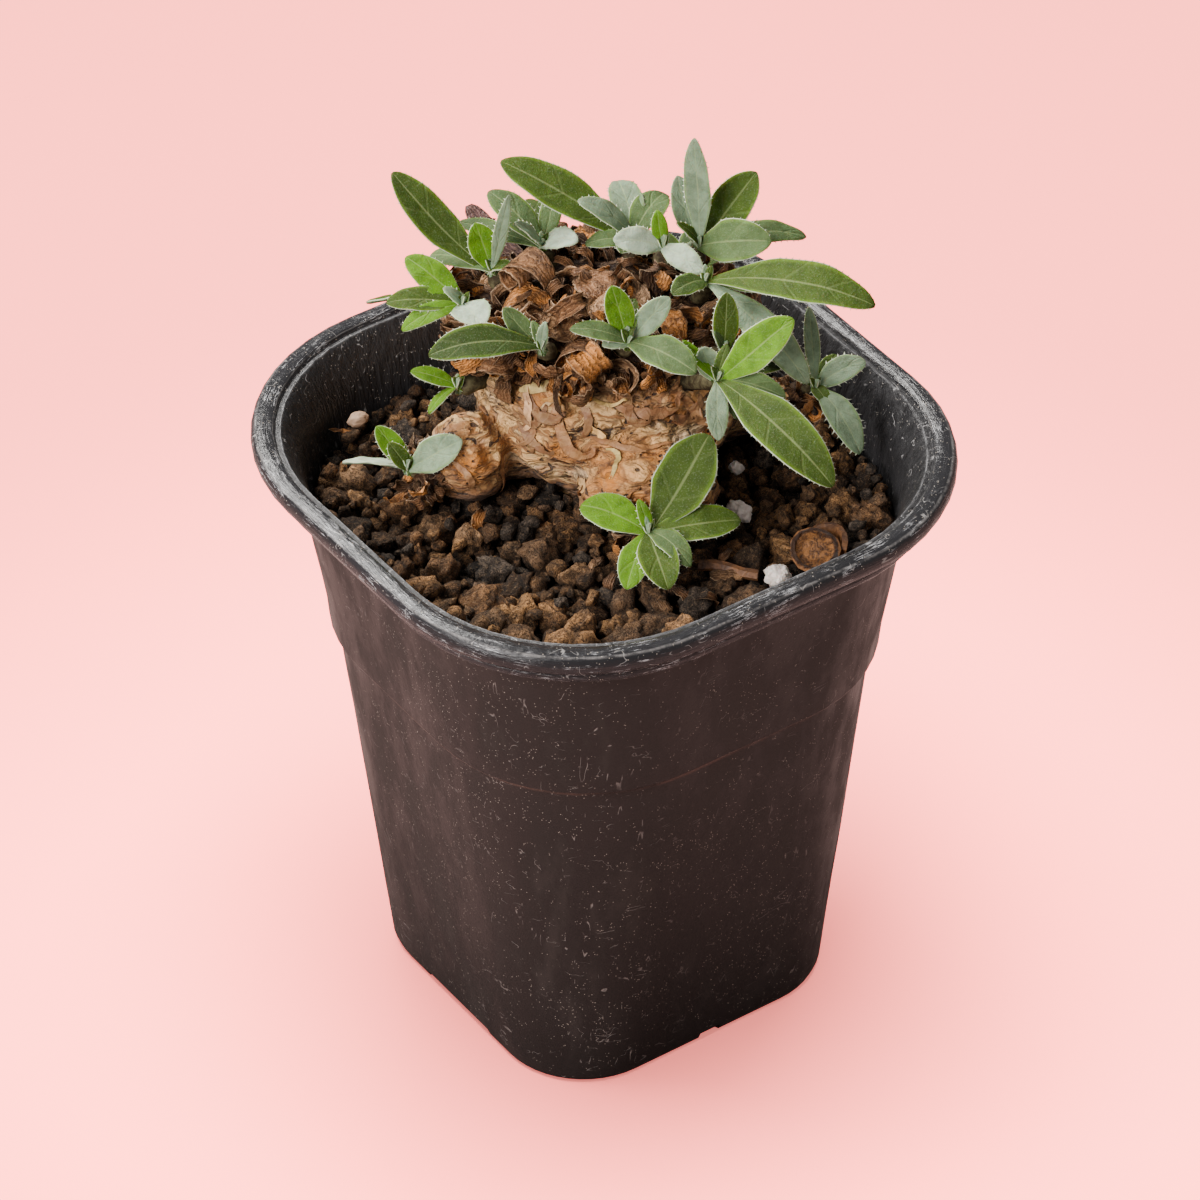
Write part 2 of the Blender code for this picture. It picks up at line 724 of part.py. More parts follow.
def clear_of(points, thin, solid, room):
    """Whether no point comes that near to the thin surfaces or the solid ones, or is inside a solid one."""
    for point in points:
        place = plant.matrix_world @ (point * MM)
        for tree in thin + solid:
            near, normal, index, distance = tree.find_nearest(place, 12 * MM)
            if near is None:
                continue
            if distance < room * MM or (tree in solid and (place - near).dot(normal) < 0):
                return False
    return True


def along(points, faces):
    """The points of a piece and of its faces' middles, for a finer test of how near it comes."""
    return points + [sum((points[k] for k in face), Vector()) / len(face) for face in faces]


def make_old_leaves(name, core, radii, underside, count, reach, wide, seed, near, skins, holes, longer=()):
    """Dead leaves of past years: a tangled core with curled strips standing out of it all over.

    near holds the thin and the solid surfaces that the strips keep clear of; skins and holes are cut out.
    """
    body = lump(core, radii, detail=3 if count > 50 else 2)
    body.name = name
    for vertex in body.data.vertices:
        place = vertex.co / MM
        outwards = (place - Vector(core)).normalized()
        vertex.co += outwards * 0.9 * noise.noise(place * 0.45) * MM
        below = core[2] * MM - vertex.co.z
        if below > 0:
            vertex.co.z += below * (1 - underside)
    draw = random.Random(seed)
    strips = [mesh_object(name + "_strip", points, faces, parent=plant) for points, faces in longer]
    golden = math.pi * (3 - math.sqrt(5))
    for k in range(count):
        z = 1 - 2 * (k + 0.5) / count
        turn = k * golden
        flat = math.sqrt(1 - z * z)
        outwards = Vector((flat * math.cos(turn), flat * math.sin(turn), z))
        place = Vector(core) + Vector(radii) * outwards * Vector((1, 1, underside if z < 0 else 1))
        way = outwards + Vector((draw.uniform(-0.7, 0.7), draw.uniform(-0.7, 0.7), draw.uniform(-0.9, 0.3)))
        for attempt in range(4):
            length = draw.uniform(*reach) * (1 - 0.17 * attempt)
            width = draw.uniform(*wide)
            side = Vector((draw.uniform(-1, 1), draw.uniform(-1, 1), draw.uniform(-1, 1)))
            curl = draw.uniform(60, 200)
            points, faces = dried_strip(place - outwards, way, side, length, width, curl, draw)
            outer = [point for point in along(points, faces) if (point - place).dot(outwards) > 0.2]
            if clear_of(outer, *near, STRIP_ROOM):
                strips.append(mesh_object(name + "_strip", points, faces, parent=plant))
                break
    combine(body, "UNION", strips)
    room = [swollen(skin, (2.2 if skin.name.startswith("rosette") else 1.3) * GAP) for skin in skins]
    for hole in holes:
        room += [socket(hole, 1.5), lump(hole["crown"], (3.0, 3.0, 3.0), detail=1)]
    combine(body, "DIFFERENCE", room)
    body.data.materials.clear()
    body.data.materials.append(OLD_LEAF)
    for home in list(body.users_collection):
        home.objects.unlink(body)
    PARTS.objects.link(body)
    return body


def settle(made, ground, sink=SINK):
    """Lowers a loose piece until it lies a little way into the grains, which are then cut to clear it."""
    bpy.context.view_layer.update()
    drop = min(
        (start - hit).z
        for start in (made.matrix_world @ vertex.co for vertex in made.data.vertices)
        for hit in [ground.ray_cast(start, Vector((0, 0, -1)))[0]]
        if hit
    )
    made.location.z -= drop + sink * MM
    return made


def pebble(name, place, radii, turn, seed, finish, rough=0.12):
    """A small rough stone or crumb with few sides."""
    bpy.ops.mesh.primitive_ico_sphere_add(subdivisions=2, radius=1)
    made = bpy.context.object
    made.name = name
    for home in list(made.users_collection):
        home.objects.unlink(made)
    PARTS.objects.link(made)
    for vertex in made.data.vertices:
        vertex.co *= 1 + rough * noise.noise(vertex.co * 1.7 + Vector((seed, 0, 0)))
    made.data.transform(Matrix.Rotation(turn, 4, "Z") @ Matrix.Diagonal((*(Vector(radii) * MM), 1)))
    made.parent = plant
    made.location = Vector((*place, DROP_HEIGHT)) * MM
    made.data.materials.append(finish)
    return made


def bark_disc(name, place, radius, finish):
    """A round flake of bark, nearly flat, its edge lifted in a low curl, tipped towards the plant's front."""
    steps = 14
    points = [Vector((0, 0, 0))]
    for share, lift in ((0.55, 0.1), (0.9, 0.35), (1.0, 0.9)):
        for k in range(steps):
            angle = 2 * math.pi * k / steps
            wide = share * radius * (1 + 0.05 * math.sin(3 * angle + 1))
            points.append(Vector((math.cos(angle) * wide, math.sin(angle) * wide, lift)))
    faces = [[0, 1 + k, 1 + (k + 1) % steps] for k in range(steps)]
    for level in range(2):
        low = 1 + level * steps
        for k in range(steps):
            after = (k + 1) % steps
            faces.append([low + k, low + after, low + steps + after, low + steps + k])
    made = mesh_object(name, points, faces, finish=finish, parent=plant)
    made.data.transform(Matrix.Rotation(math.radians(24), 4, "X"))
    made.location = Vector((*place, DROP_HEIGHT)) * MM
    thick = made.modifiers.new("thickness", "SOLIDIFY")
    thick.thickness = BLADE * MM
    thick.offset = 0
    return applied(made)


def bark_arc(name, place, finish):
    """A curved sliver of bark that stands on its edge behind the disc."""
    points = []
    steps = 7
    for k in range(steps + 1):
        angle = math.radians(-20 + 125 * k / steps)
        for lean, z in ((0.0, 0.0), (0.5, 2.6 - 0.14 * (k - 3) ** 2)):
            points.append(Vector((math.cos(angle) * (4.2 + lean), math.sin(angle) * (4.2 + lean), z)))
    faces = [[2 * k, 2 * k + 2, 2 * k + 3, 2 * k + 1] for k in range(steps)]
    made = mesh_object(name, points, faces, finish=finish, parent=plant)
    made.location = Vector((place[0] - 3.4, place[1] - 4.6, DROP_HEIGHT)) * MM
    thick = made.modifiers.new("thickness", "SOLIDIFY")
    thick.thickness = BLADE * MM
    thick.offset = 0
    return applied(made)


def twig(name, place, length, radius, heading, finish):
    """A short crooked stick with six sides."""
    rings = []
    for k in range(5):
        t = k / 4
        centre = Vector((length * (t - 0.5), 0.5 * math.sin(5 * t), 0.3 * math.sin(4 * t + 1)))
        turns = [j * math.pi / 3 for j in range(6)]
        rings.append([centre + Vector((0, math.cos(turn), math.sin(turn))) * radius for turn in turns])
    made = mesh_object(name, *loft(rings), finish=finish, parent=plant)
    made.data.transform(Matrix.Rotation(heading, 4, "Z"))
    made.location = Vector((*place, DROP_HEIGHT)) * MM
    return made


make_pot()
soil = make_soil()
caudex = make_caudex()
combine(soil, "DIFFERENCE", [swollen(caudex, GAP)])
bpy.context.view_layer.update()
heads = {name: make_head(name, head) for name, head in HEADS.items()}

OLD_LEAF = material("old_leaf", (0.28, 0.14, 0.07), 0.85)
SCROLL_ROOT = Vector((-15.0, 14.5, 124.5))
SCROLL_WAY = Vector((-0.2, -0.3, 1.0))
SCROLL_SIDE = Vector((0.0, 1.0, -0.3))
SCROLL = dried_strip(SCROLL_ROOT, SCROLL_WAY, SCROLL_SIDE, 23.0, 5.6, 430.0, random.Random(8), 9)
HANGING_PATH = [
    Vector((-8.5, 5.0, 119.5)),
    Vector((-8.6, -2.5, 118.0)),
    Vector((-8.8, -5.6, 114.5)),
    Vector((-8.3, -6.2, 111.0)),
    Vector((-8.0, -5.8, 108.0)),
    Vector((-8.6, -6.2, 105.5)),
]
HANGING_HALVES = [1.0, 1.5, 1.3, 1.4, 1.2, 1.0]
HANGING_STRIP = ribbon(HANGING_PATH, [Vector((1, 0, 0))] * 6, HANGING_HALVES, DRY_BLADE, 0.2)
DEAD_LEAF_ROOT = Vector((-12.0, 22.0, 124.0))
DEAD_LEAF_POINTS, DEAD_LEAF_FACES = leaf((-10.0, 11.5, 2.0), 4.8, arch=0.02)
DEAD_LEAF = ([DEAD_LEAF_ROOT + point for point in DEAD_LEAF_POINTS], DEAD_LEAF_FACES)
leafy = [surface(head) for head in heads.values()]
firm = [surface(soil), surface(caudex)]
over_crown = [name for name in heads if not name.endswith(("branch", "knob"))]
old_crown = make_old_leaves(
    "old_leaves_crown",
    CROWN_CAP,
    CROWN_RADII,
    underside=0.45,
    count=74,
    reach=(7.0, 12.0),
    wide=(3.2, 6.2),
    seed=3,
    near=(leafy, firm),
    skins=[caudex],
    holes=[HEADS[name] for name in over_crown],
    longer=[SCROLL, HANGING_STRIP, DEAD_LEAF],
)
tufts = {
    "old_leaves_front_knob": ("rosette_front_knob", (6.8, -14.6, 100.6), (4.6, 2.6, 3.0)),
    "old_leaves_left_knob": ("rosette_left_knob", (-28.0, -0.4, 100.6), (2.6, 4.2, 3.0)),
    "old_leaves_right_branch": ("rosette_right_branch", (31.2, 13.5, 103.8), (2.6, 3.6, 3.2)),
}
for seed, (name, (head, core, radii)) in enumerate(tufts.items()):
    make_old_leaves(
        name,
        core,
        radii,
        underside=1.0,
        count=9,
        reach=(4.0, 7.5),
        wide=(1.8, 3.8),
        seed=20 + seed,
        near=(leafy + [surface(old_crown)], firm),
        skins=[caudex, soil, heads[head]],
        holes=[HEADS[head]],
    )
combine(caudex, "DIFFERENCE", [socket(head) for head in HEADS.values()])

ground = surface(soil)
PERLITE = material("perlite", (0.75, 0.68, 0.6), 0.9)
BARK = material("bark", (0.25, 0.12, 0.06), 0.8)
STONE = material("tan_stone", (0.5, 0.32, 0.2), 0.8)
bits = [
    settle(pebble("perlite_small", (21.3, 5.4), (1.2, 1.1, 1.0), 0.3, 1.0, PERLITE), ground),
    settle(pebble("perlite_middle", (21.4, -5.9), (1.9, 2.2, 1.7), 0.8, 5.0, PERLITE), ground),
    settle(pebble("perlite_front", (27.4, -21.4), (2.2, 1.9, 1.7), 0.1, 9.0, PERLITE), ground),
    settle(pebble("tan_pebble", (-39.6, 17.0), (1.9, 1.3, 1.2), 0.5, 13.0, STONE, rough=0.05), ground),
    settle(bark_disc("bark_disc", (33.3, -15.6), 3.7, BARK), ground),
    settle(bark_arc("bark_arc", (36.9, -9.2), BARK), ground),
    settle(twig("twig", (19.6, -20.8), 9.5, 0.9, -0.15, BARK), ground),
]
combine(soil, "DIFFERENCE", [swollen(bit, BIT_ROOM) for bit in bits])
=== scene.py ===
import json
import math
import random

import bmesh
import bpy
from mathutils import Matrix, Vector, noise
from mathutils.bvhtree import BVHTree
from mathutils.kdtree import KDTree

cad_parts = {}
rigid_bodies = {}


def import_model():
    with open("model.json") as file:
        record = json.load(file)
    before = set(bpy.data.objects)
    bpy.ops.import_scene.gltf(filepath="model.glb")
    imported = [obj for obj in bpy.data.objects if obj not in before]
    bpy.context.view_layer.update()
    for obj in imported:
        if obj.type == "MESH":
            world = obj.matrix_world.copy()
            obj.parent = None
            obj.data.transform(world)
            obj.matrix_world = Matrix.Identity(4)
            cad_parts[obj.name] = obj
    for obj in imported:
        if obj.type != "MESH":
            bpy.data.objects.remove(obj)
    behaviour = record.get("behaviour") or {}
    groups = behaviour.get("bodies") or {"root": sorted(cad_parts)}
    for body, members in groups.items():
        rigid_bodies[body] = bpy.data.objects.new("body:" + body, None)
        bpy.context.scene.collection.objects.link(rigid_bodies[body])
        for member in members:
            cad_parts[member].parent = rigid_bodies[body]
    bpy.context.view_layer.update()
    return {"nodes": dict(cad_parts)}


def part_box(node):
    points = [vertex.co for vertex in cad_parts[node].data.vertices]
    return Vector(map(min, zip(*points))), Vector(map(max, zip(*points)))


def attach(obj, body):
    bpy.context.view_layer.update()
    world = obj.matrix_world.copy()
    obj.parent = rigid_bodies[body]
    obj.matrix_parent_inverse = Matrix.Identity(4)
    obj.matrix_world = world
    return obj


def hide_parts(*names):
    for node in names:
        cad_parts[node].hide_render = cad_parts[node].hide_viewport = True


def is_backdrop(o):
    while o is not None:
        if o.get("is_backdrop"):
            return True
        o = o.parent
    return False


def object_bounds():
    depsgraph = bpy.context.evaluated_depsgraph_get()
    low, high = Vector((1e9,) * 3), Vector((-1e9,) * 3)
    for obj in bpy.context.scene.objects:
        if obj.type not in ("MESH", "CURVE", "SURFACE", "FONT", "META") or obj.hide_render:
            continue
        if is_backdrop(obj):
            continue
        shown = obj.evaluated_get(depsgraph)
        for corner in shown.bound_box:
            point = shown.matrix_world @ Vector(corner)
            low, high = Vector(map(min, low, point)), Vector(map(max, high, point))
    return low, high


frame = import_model()

# The floor, the light and the camera
# The pot stands on a smooth sheet of pale pink card. One softbox hangs behind it to the left and a weaker one
# in front, so that the leaves are lit through and the pot stays in soft shade. A third, overhead, lights only
# the card. Places are in millimetres in the plant's own frame, whose front is the near corner of the pot.
PLANT_TURN = 34.8
MM = 0.001
PLANT = Matrix.Rotation(math.radians(-PLANT_TURN), 4, "Z") @ Matrix.Scale(MM, 4)


class Value:
    """A number, colour or place that changes over a surface. Values add and multiply as numbers do."""

    def __init__(self, socket):
        self.socket = socket

    def __add__(self, other):
        return worked("ADD", self, other)

    def __sub__(self, other):
        return worked("SUBTRACT", self, other)

    def __mul__(self, other):
        return worked("MULTIPLY", self, other)

    def __truediv__(self, other):
        return worked("DIVIDE", self, other)

    def __abs__(self):
        return worked("ABSOLUTE", self)


def feed(socket, value):
    """Links a socket to a value that changes over the surface, or sets it to a plain one."""
    if isinstance(value, Value):
        socket.id_data.links.new(value.socket, socket)
    elif hasattr(value, "__len__") and len(value) == 3 and len(socket.default_value) == 4:
        socket.default_value = (*value, 1)
    else:
        socket.default_value = value


def new_node(kind, inputs, output=0, **settings):
    """Adds a node to the tree that is being built, and gives one of its outputs, or all of them by name."""
    made = tree.nodes.new("ShaderNode" + kind)
    for key, value in settings.items():
        setattr(made, key, value)
    for key, value in inputs.items():
        feed(made.inputs[key], value)
    return {one.name: Value(one) for one in made.outputs} if output is None else Value(made.outputs[output])


def mix(factor, low, high):
    return new_node("Mix", {0: factor, 6: low, 7: high}, 2, data_type="RGBA")


def worked(operation, first, second=0):
    return new_node("Math", {0: first, 1: second}, operation=operation)


def band(value, low, high, under=0, over=1):
    """A smooth step of a value: under up to low, over from high."""
    ends = {"From Min": low, "From Max": high, "To Min": under, "To Max": over}
    return new_node("MapRange", {"Value": value, **ends}, interpolation_type="SMOOTHSTEP")


def place(stretch=(1, 1, 1), turn=(0, 0, 0)):
    """Where a point lies on the piece, in metres, stretched and turned for a pattern."""
    spot = new_node("TexCoord", {}, "Object")
    return new_node("Mapping", {"Vector": spot, "Scale": stretch, "Rotation": turn})


def cloud(scale, detail=3, rough=0.55, distortion=0, at=None, output=0):
    looks = {"Scale": scale, "Detail": detail, "Roughness": rough, "Distortion": distortion}
    return new_node("TexNoise", {"Vector": at or place(), **looks}, output)


def cells(scale, feature="F1", at=None):
    return new_node("TexVoronoi", {"Vector": at or place(), "Scale": scale}, "Distance", feature=feature)


def coated(colour, *coats):
    """A colour under coats, each given with how much of it shows."""
    for share, coat in coats:
        colour = mix(share, colour, coat)
    return colour


def bump(height, distance):
    return new_node("Bump", {"Height": height, "Distance": distance})


def away_from(spot):
    return new_node("VectorMath", {0: place(), 1: spot}, "Value", operation="DISTANCE")


def dress(node, **sockets):
    """Feeds a node's sockets, each named with _ for a space."""
    for socket, value in sockets.items():
        feed(node.inputs[socket.replace("_", " ")], value)


def finish(name, roughness, **sockets):
    """A new material, its node tree and its Principled shader."""
    made = bpy.data.materials.new(name)
    made.use_nodes = True
    shader = made.node_tree.nodes["Principled BSDF"]
    dress(shader, Roughness=roughness, **sockets)
    return made, made.node_tree, shader


card, tree, shader = finish("pink_card", 0.85, Emission_Color=(1, 0.225, 0.197))
card_pink = mix(cloud(3), (0.93, 0.15, 0.126), (0.97, 0.162, 0.137))
# The card's colour is painted brightest round the pot: a painted pool of light that falls off towards its far
# end.
card_painted_light = band(away_from(PLANT @ Vector((0, -20, 0))), 0.07, 0.21, 1, 0.56)
seen = new_node("LightPath", {}, "Is Camera Ray")
card_pink = mix(seen, (0.112, 0.061, 0.053), mix(card_painted_light, (0, 0, 0), card_pink))
dress(shader, Base_Color=card_pink, Emission_Strength=seen * 0.95)
bpy.ops.mesh.primitive_plane_add(size=8)
floor = bpy.context.object
floor.name = "floor"
floor.data.materials.append(card)
floor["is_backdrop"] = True

world = bpy.data.worlds.new("studio")
world.use_nodes = True
dress(world.node_tree.nodes["Background"], Color=(1, 0.95, 0.93), Strength=0.45)
bpy.context.scene.world = world


def linked(made):
    """The object, now in the scene."""
    bpy.context.scene.collection.objects.link(made)
    return made


card_only = bpy.data.collections.new("card_only")
card_only.objects.link(floor)
not_card = bpy.data.collections.new("not_card")
not_card.objects.link(floor)
not_card.collection_objects[0].light_linking.link_state = "EXCLUDE"
for name, spot, aim, size, power, colour, lights in (
    ("card_light", (-60, 30, 900), (0, 0, 0), 0.58, 82, (1, 1, 1), card_only),
    ("back_light", (-420, 520, 820), (0, 10, 100), 0.42, 22, (1, 0.97, 0.93), not_card),
    ("front_light", (-520, -520, 560), (0, 0, 90), 0.5, 13, (1, 0.96, 0.94), not_card),
):
    lamp = bpy.data.lights.new(name, "AREA")
    lamp.size = size
    lamp.energy = power
    lamp.color = colour
    softbox = linked(bpy.data.objects.new(name, lamp))
    softbox.location = PLANT @ Vector(spot)
    softbox.rotation_euler = (PLANT @ Vector(aim) - softbox.location).to_track_quat("-Z", "Y").to_euler()
    softbox.light_linking.receiver_collection = lights

# The camera looks down at the corner of the pot, at the photograph's angle and distance.
TILT = math.radians(39.2219)
ROLL = math.radians(-0.3293)
TURN = Matrix.Rotation(math.radians(-34.769), 3, "Z")
AIM_HEIGHT = 53.637
SHIFT_RIGHT = -0.7376
SHIFT_UP = 15.2094
DISTANCE = 1144.587
back = Vector((0, -math.cos(TILT), math.sin(TILT)))
level = Vector((1, 0, 0))
upright = back.cross(level)
camera_right = level * math.cos(ROLL) + upright * math.sin(ROLL)
camera_up = upright * math.cos(ROLL) - level * math.sin(ROLL)
lens = bpy.data.cameras.new("camera")
lens.lens = 210
lens.sensor_width = 36
lens.clip_start = 0.05
lens.clip_end = 30
camera = linked(bpy.data.objects.new("camera", lens))
spot = Vector((0, 0, AIM_HEIGHT)) + camera_right * SHIFT_RIGHT + camera_up * SHIFT_UP + back * DISTANCE
camera.matrix_world = Matrix.LocRotScale(
    TURN @ spot * MM, (TURN @ Matrix((camera_right, camera_up, back)).transposed()).to_quaternion(), None
)
bpy.context.scene.camera = camera

# The pot
# A blow-moulded square nursery pot of thin black plastic. Its wall steps out at the shoulder and rolls over
# at the rim. It is worn: the rim is scuffed grey, the walls are scratched, and dust clings to the outside.
POT_HEIGHT = 107.3
RIM_HALF = 50
BASE_HALF = 29.9
STEP_HEIGHT = 70
STEP_PROUD = 0.9
WALL = 1.1
WALL_LEAN = 0.131
FLOOR = 2.6
FLOOR_COVE = 1.4
CORNER_STEPS = 12
SIDE_STEPS = 8


def wall_half(z):
    return BASE_HALF + WALL_LEAN * z + (STEP_PROUD if z > STEP_HEIGHT else 0)


def wall_corner(z):
    return 15 + 0.19 * z if z < 75 else 29.3 + 0.05 * (z - 75)


def rounded_square(half, corner, z):
    """Points round a square with rounded corners, its sides cut into short steps too."""
    points = []
    inner = half - corner
    for quarter in range(4):
        turn = Matrix.Rotation(quarter * math.pi / 2, 3, "Z")
        for step in range(CORNER_STEPS + 1):
            bend = math.pi / 2 * step / CORNER_STEPS
            x = inner + corner * math.cos(bend)
            points.append(turn @ Vector((x, inner + corner * math.sin(bend), z)))
        for step in range(1, SIDE_STEPS):
            points.append(turn @ Vector((inner * (1 - 2 * step / SIDE_STEPS), half, z)))
    return points


def tube(rings):
    """Faces of a closed skin through rings of equal count, capped at both ends."""
    count = len(rings[0])
    faces = [list(range(count))]
    for row in range(len(rings) - 1):
        low = row * count
        for k in range(count):
            after = (k + 1) % count
            faces.append([low + k, low + after, low + count + after, low + count + k])
    faces.append([(len(rings) - 1) * count + k for k in range(count)])
    return [point for ring in rings for point in ring], faces


def solid(name, points, faces, materials, slots=None):
    """A mesh from points in metres, its faces turned outwards and shaded smooth."""
    mesh = bpy.data.meshes.new(name)
    mesh.from_pydata(points, [], faces)
    for finish_used in materials:
        mesh.materials.append(finish_used)
    if slots:
        mesh.polygons.foreach_set("material_index", slots)
    mesh.polygons.foreach_set("use_smooth", [True] * len(faces))
    shape = bmesh.new()
    shape.from_mesh(mesh)
    bmesh.ops.recalc_face_normals(shape, faces=shape.faces)
    shape.to_mesh(mesh)
    shape.free()
    return linked(bpy.data.objects.new(name, mesh))


def marked(made, name, values, kind="FLOAT", key="value"):
    """Writes a number or a colour on each point of a mesh, which its finishes read."""
    made.data.attributes.new(name, kind, "POINT").data.foreach_set(key, values)


def stands_for(made, node):
    """The piece takes the place of a node of the frame."""
    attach(made, "root")
    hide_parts(node)
    return made


def applied(made):
    """The piece with its modifiers made part of its mesh."""
    bpy.context.view_layer.update()
    graph = bpy.context.evaluated_depsgraph_get()
    old = made.data
    made.data = bpy.data.meshes.new_from_object(made.evaluated_get(graph))
    made.modifiers.clear()
    bpy.data.meshes.remove(old)
    return made


def group(name, inputs, outputs):
    """An effect that several finishes use: a node group, what it is given, and what it puts out."""
    made = bpy.data.node_groups.new(name, "ShaderNodeTree")
    for way, titles in (("INPUT", inputs), ("OUTPUT", outputs)):
        for title in titles:
            kind = "NodeSocketColor" if title == "Colour" else "NodeSocketFloat"
            made.interface.new_socket(title, in_out=way, socket_type=kind)
    given = made.nodes.new("NodeGroupInput").outputs
    return made, {title: Value(given[title]) for title in inputs}, made.nodes.new("NodeGroupOutput")


def effect(made, **values):
    return new_node("Group", values, None, node_tree=made)


def attribute(name):
    """What was written on the points of a piece: a colour of its own, or a number."""
    return new_node("Attribute", {}, "Color" if "colour" in name else "Fac", attribute_name=name)


# Scratches are thin contour lines of stretched noise, cut short by a mask; specks are sparse small cells.
wear, given, out = group("fine_wear", ["Amount"], ["Scratches", "Specks"])
tree = wear
lines = 0
for turn, stretch in (
    ((0.8, 0.3, 0.5), (60, 280, 280)),
    ((1.5, 2.3, 0.9), (300, 50, 300)),
    ((0.5, 1.1, 2.8), (260, 280, 45)),
):
    streak = cloud(1, 2, at=place(stretch, turn))
    line = band(abs(streak - 0.5), 0.01, 0.002)
    where = band(cloud(260, 2, at=place((1, 1, 1), turn)), 0.59, 0.66)
    lines = worked("MAXIMUM", lines, line * where)
chosen = cloud(700, 1) + cloud(40) * 0.5
specks = band(cells(1900), 0.23, 0.09) * band(chosen, 0.76, 0.86)
dress(out, Scratches=lines * given["Amount"], Specks=specks)


def worn_and_highlit_edge():
    """How pale an edge is, from rubbed wear and a painted highlight: a crisp broken line along it."""
    broken = band(cloud(300, 4, 0.75), 0.38, 0.62, 0.1, 1)
    return band(attribute("rubbed"), 0.62, 1) * broken


outside, tree, shader = finish("pot_outside", 0.42, Specular_IOR_Level=0.24)
spot = new_node("SeparateXYZ", {0: place()}, None)
# The corners are knocked about more than the walls.
off_corner = abs(abs(spot["X"]) - abs(spot["Y"]))
worn = effect(wear, Amount=band(off_corner, 0.026, 0.01, 0.55, 1.6))
dust = cloud(160, 4, 0.65, at=place((1, 1, 0.35)))
shoulder = band(spot["Z"], 0.0686, 0.0692) * band(spot["Z"], 0.0702, 0.0706, 1, 0)
# The pale edge line is rubbed wear and also a painted highlight.
colour = coated(
    mix(cloud(28, 5, 0.6), (0.009, 0.0075, 0.0072), (0.02, 0.016, 0.015)),
    (band(dust, 0.48, 0.75, 0, 0.4), (0.048, 0.037, 0.033)),
    (shoulder * band(cloud(90), 0.4, 0.6, 0.1, 0.8), (0.1, 0.058, 0.047)),
    (worn_and_highlit_edge() * 0.8, (0.12, 0.08, 0.066)),
    (worn["Scratches"] * 0.55, (0.17, 0.145, 0.135)),
    (worn["Specks"] * 0.7, (0.4, 0.34, 0.29)),
)
ripple = cloud(45, 2, at=place((1, 1, 0.3))) + cloud(1500) * 0.05
relief = bump(ripple - worn["Scratches"] * 0.1, 0.0006)
dress(shader, Base_Color=colour, Roughness=band(dust, 0.35, 0.7, 0.34, 0.62), Normal=relief)

rim_finish, tree, shader = finish("pot_rim", 0.3, Specular_IOR_Level=0.34)
worn = effect(wear, Amount=0.6)
scuff = cloud(420, 5, 0.7, 0.8, place((1, 1, 2.5)))
# Grooves and long scratches run along the rim: their noise is squeezed across the profile. The pale lines
# along it are scratches and also a painted highlight.
spot = new_node("SeparateXYZ", {0: place((110, 110, 1))}, None)
groove_at = new_node("CombineXYZ", {0: spot["X"], 1: spot["Y"], 2: attribute("girth") * 1.5})
grooves = cloud(1, 5, 0.62, at=groove_at)
scratch_highlights = band(abs(grooves - 0.55), 0.016, 0.003) * band(cloud(240, 3, 0.6), 0.46, 0.6)
# The pale rubbed edges are wear and also a painted highlight.
colour = coated(
    mix(cloud(60, 5, 0.65), (0.008, 0.008, 0.009), (0.022, 0.022, 0.025)),
    (band(scuff, 0.64, 0.76, 0, 0.25), (0.1, 0.1, 0.11)),
    (scratch_highlights * 0.9, (0.47, 0.47, 0.48)),
    (worn_and_highlit_edge() * 0.75, (0.2, 0.19, 0.185)),
    (worn["Scratches"] * 0.85, (0.42, 0.4, 0.38)),
    (worn["Specks"] * 0.7, (0.55, 0.48, 0.4)),
)
relief = bump(scuff * 0.25 + grooves * 0.5, 0.00045)
dress(shader, Base_Color=colour, Roughness=band(scuff, 0.4, 0.7, 0.15, 0.3), Normal=relief)

inside, tree, shader = finish("pot_inside", 0.33, Specular_IOR_Level=0.5)
worn = effect(wear, Amount=1)
brushed = cloud(60, 4, 0.7, at=place((14, 14, 1)))
# The pale rubbed edge at the lip is wear and also a painted highlight.
colour = coated(
    mix(brushed, (0.01, 0.01, 0.011), (0.036, 0.035, 0.037)),
    (worn["Scratches"] * 0.9, (0.36, 0.35, 0.35)),
    (worn["Specks"] * 0.8, (0.5, 0.45, 0.4)),
    (worn_and_highlit_edge(), (0.16, 0.16, 0.165)),
)
rough = band(brushed, 0.3, 0.7, 0.26, 0.5)
dress(shader, Base_Color=colour, Roughness=rough, Normal=bump(brushed, 0.0005))

# Half width, height, which finish (outside, rim, inside), and how pale the edge there is: rubbed wear with a
# painted highlight.
profile = [(wall_half(0) - 1.3, 0, 0, 0), (wall_half(0) - 0.3, 0.4, 0, 0.6)]
profile += [(wall_half(z), z, 0, 0) for z in (1.6, 5, 12, 20, 30, 40, 50, 60, 66, STEP_HEIGHT - 0.9)]
profile += [(wall_half(STEP_HEIGHT - 0.7) + 0.1, STEP_HEIGHT - 0.6, 0, 0)]
profile += [(wall_half(STEP_HEIGHT + 0.1) - 0.15, STEP_HEIGHT + 0.1, 0, 0)]
profile += [(wall_half(z), z, 0, 0) for z in (STEP_HEIGHT + 0.6, 75, 82, 89, 94)]
profile += [(wall_half(99) + 0.3, 99.2, 0, 0)]
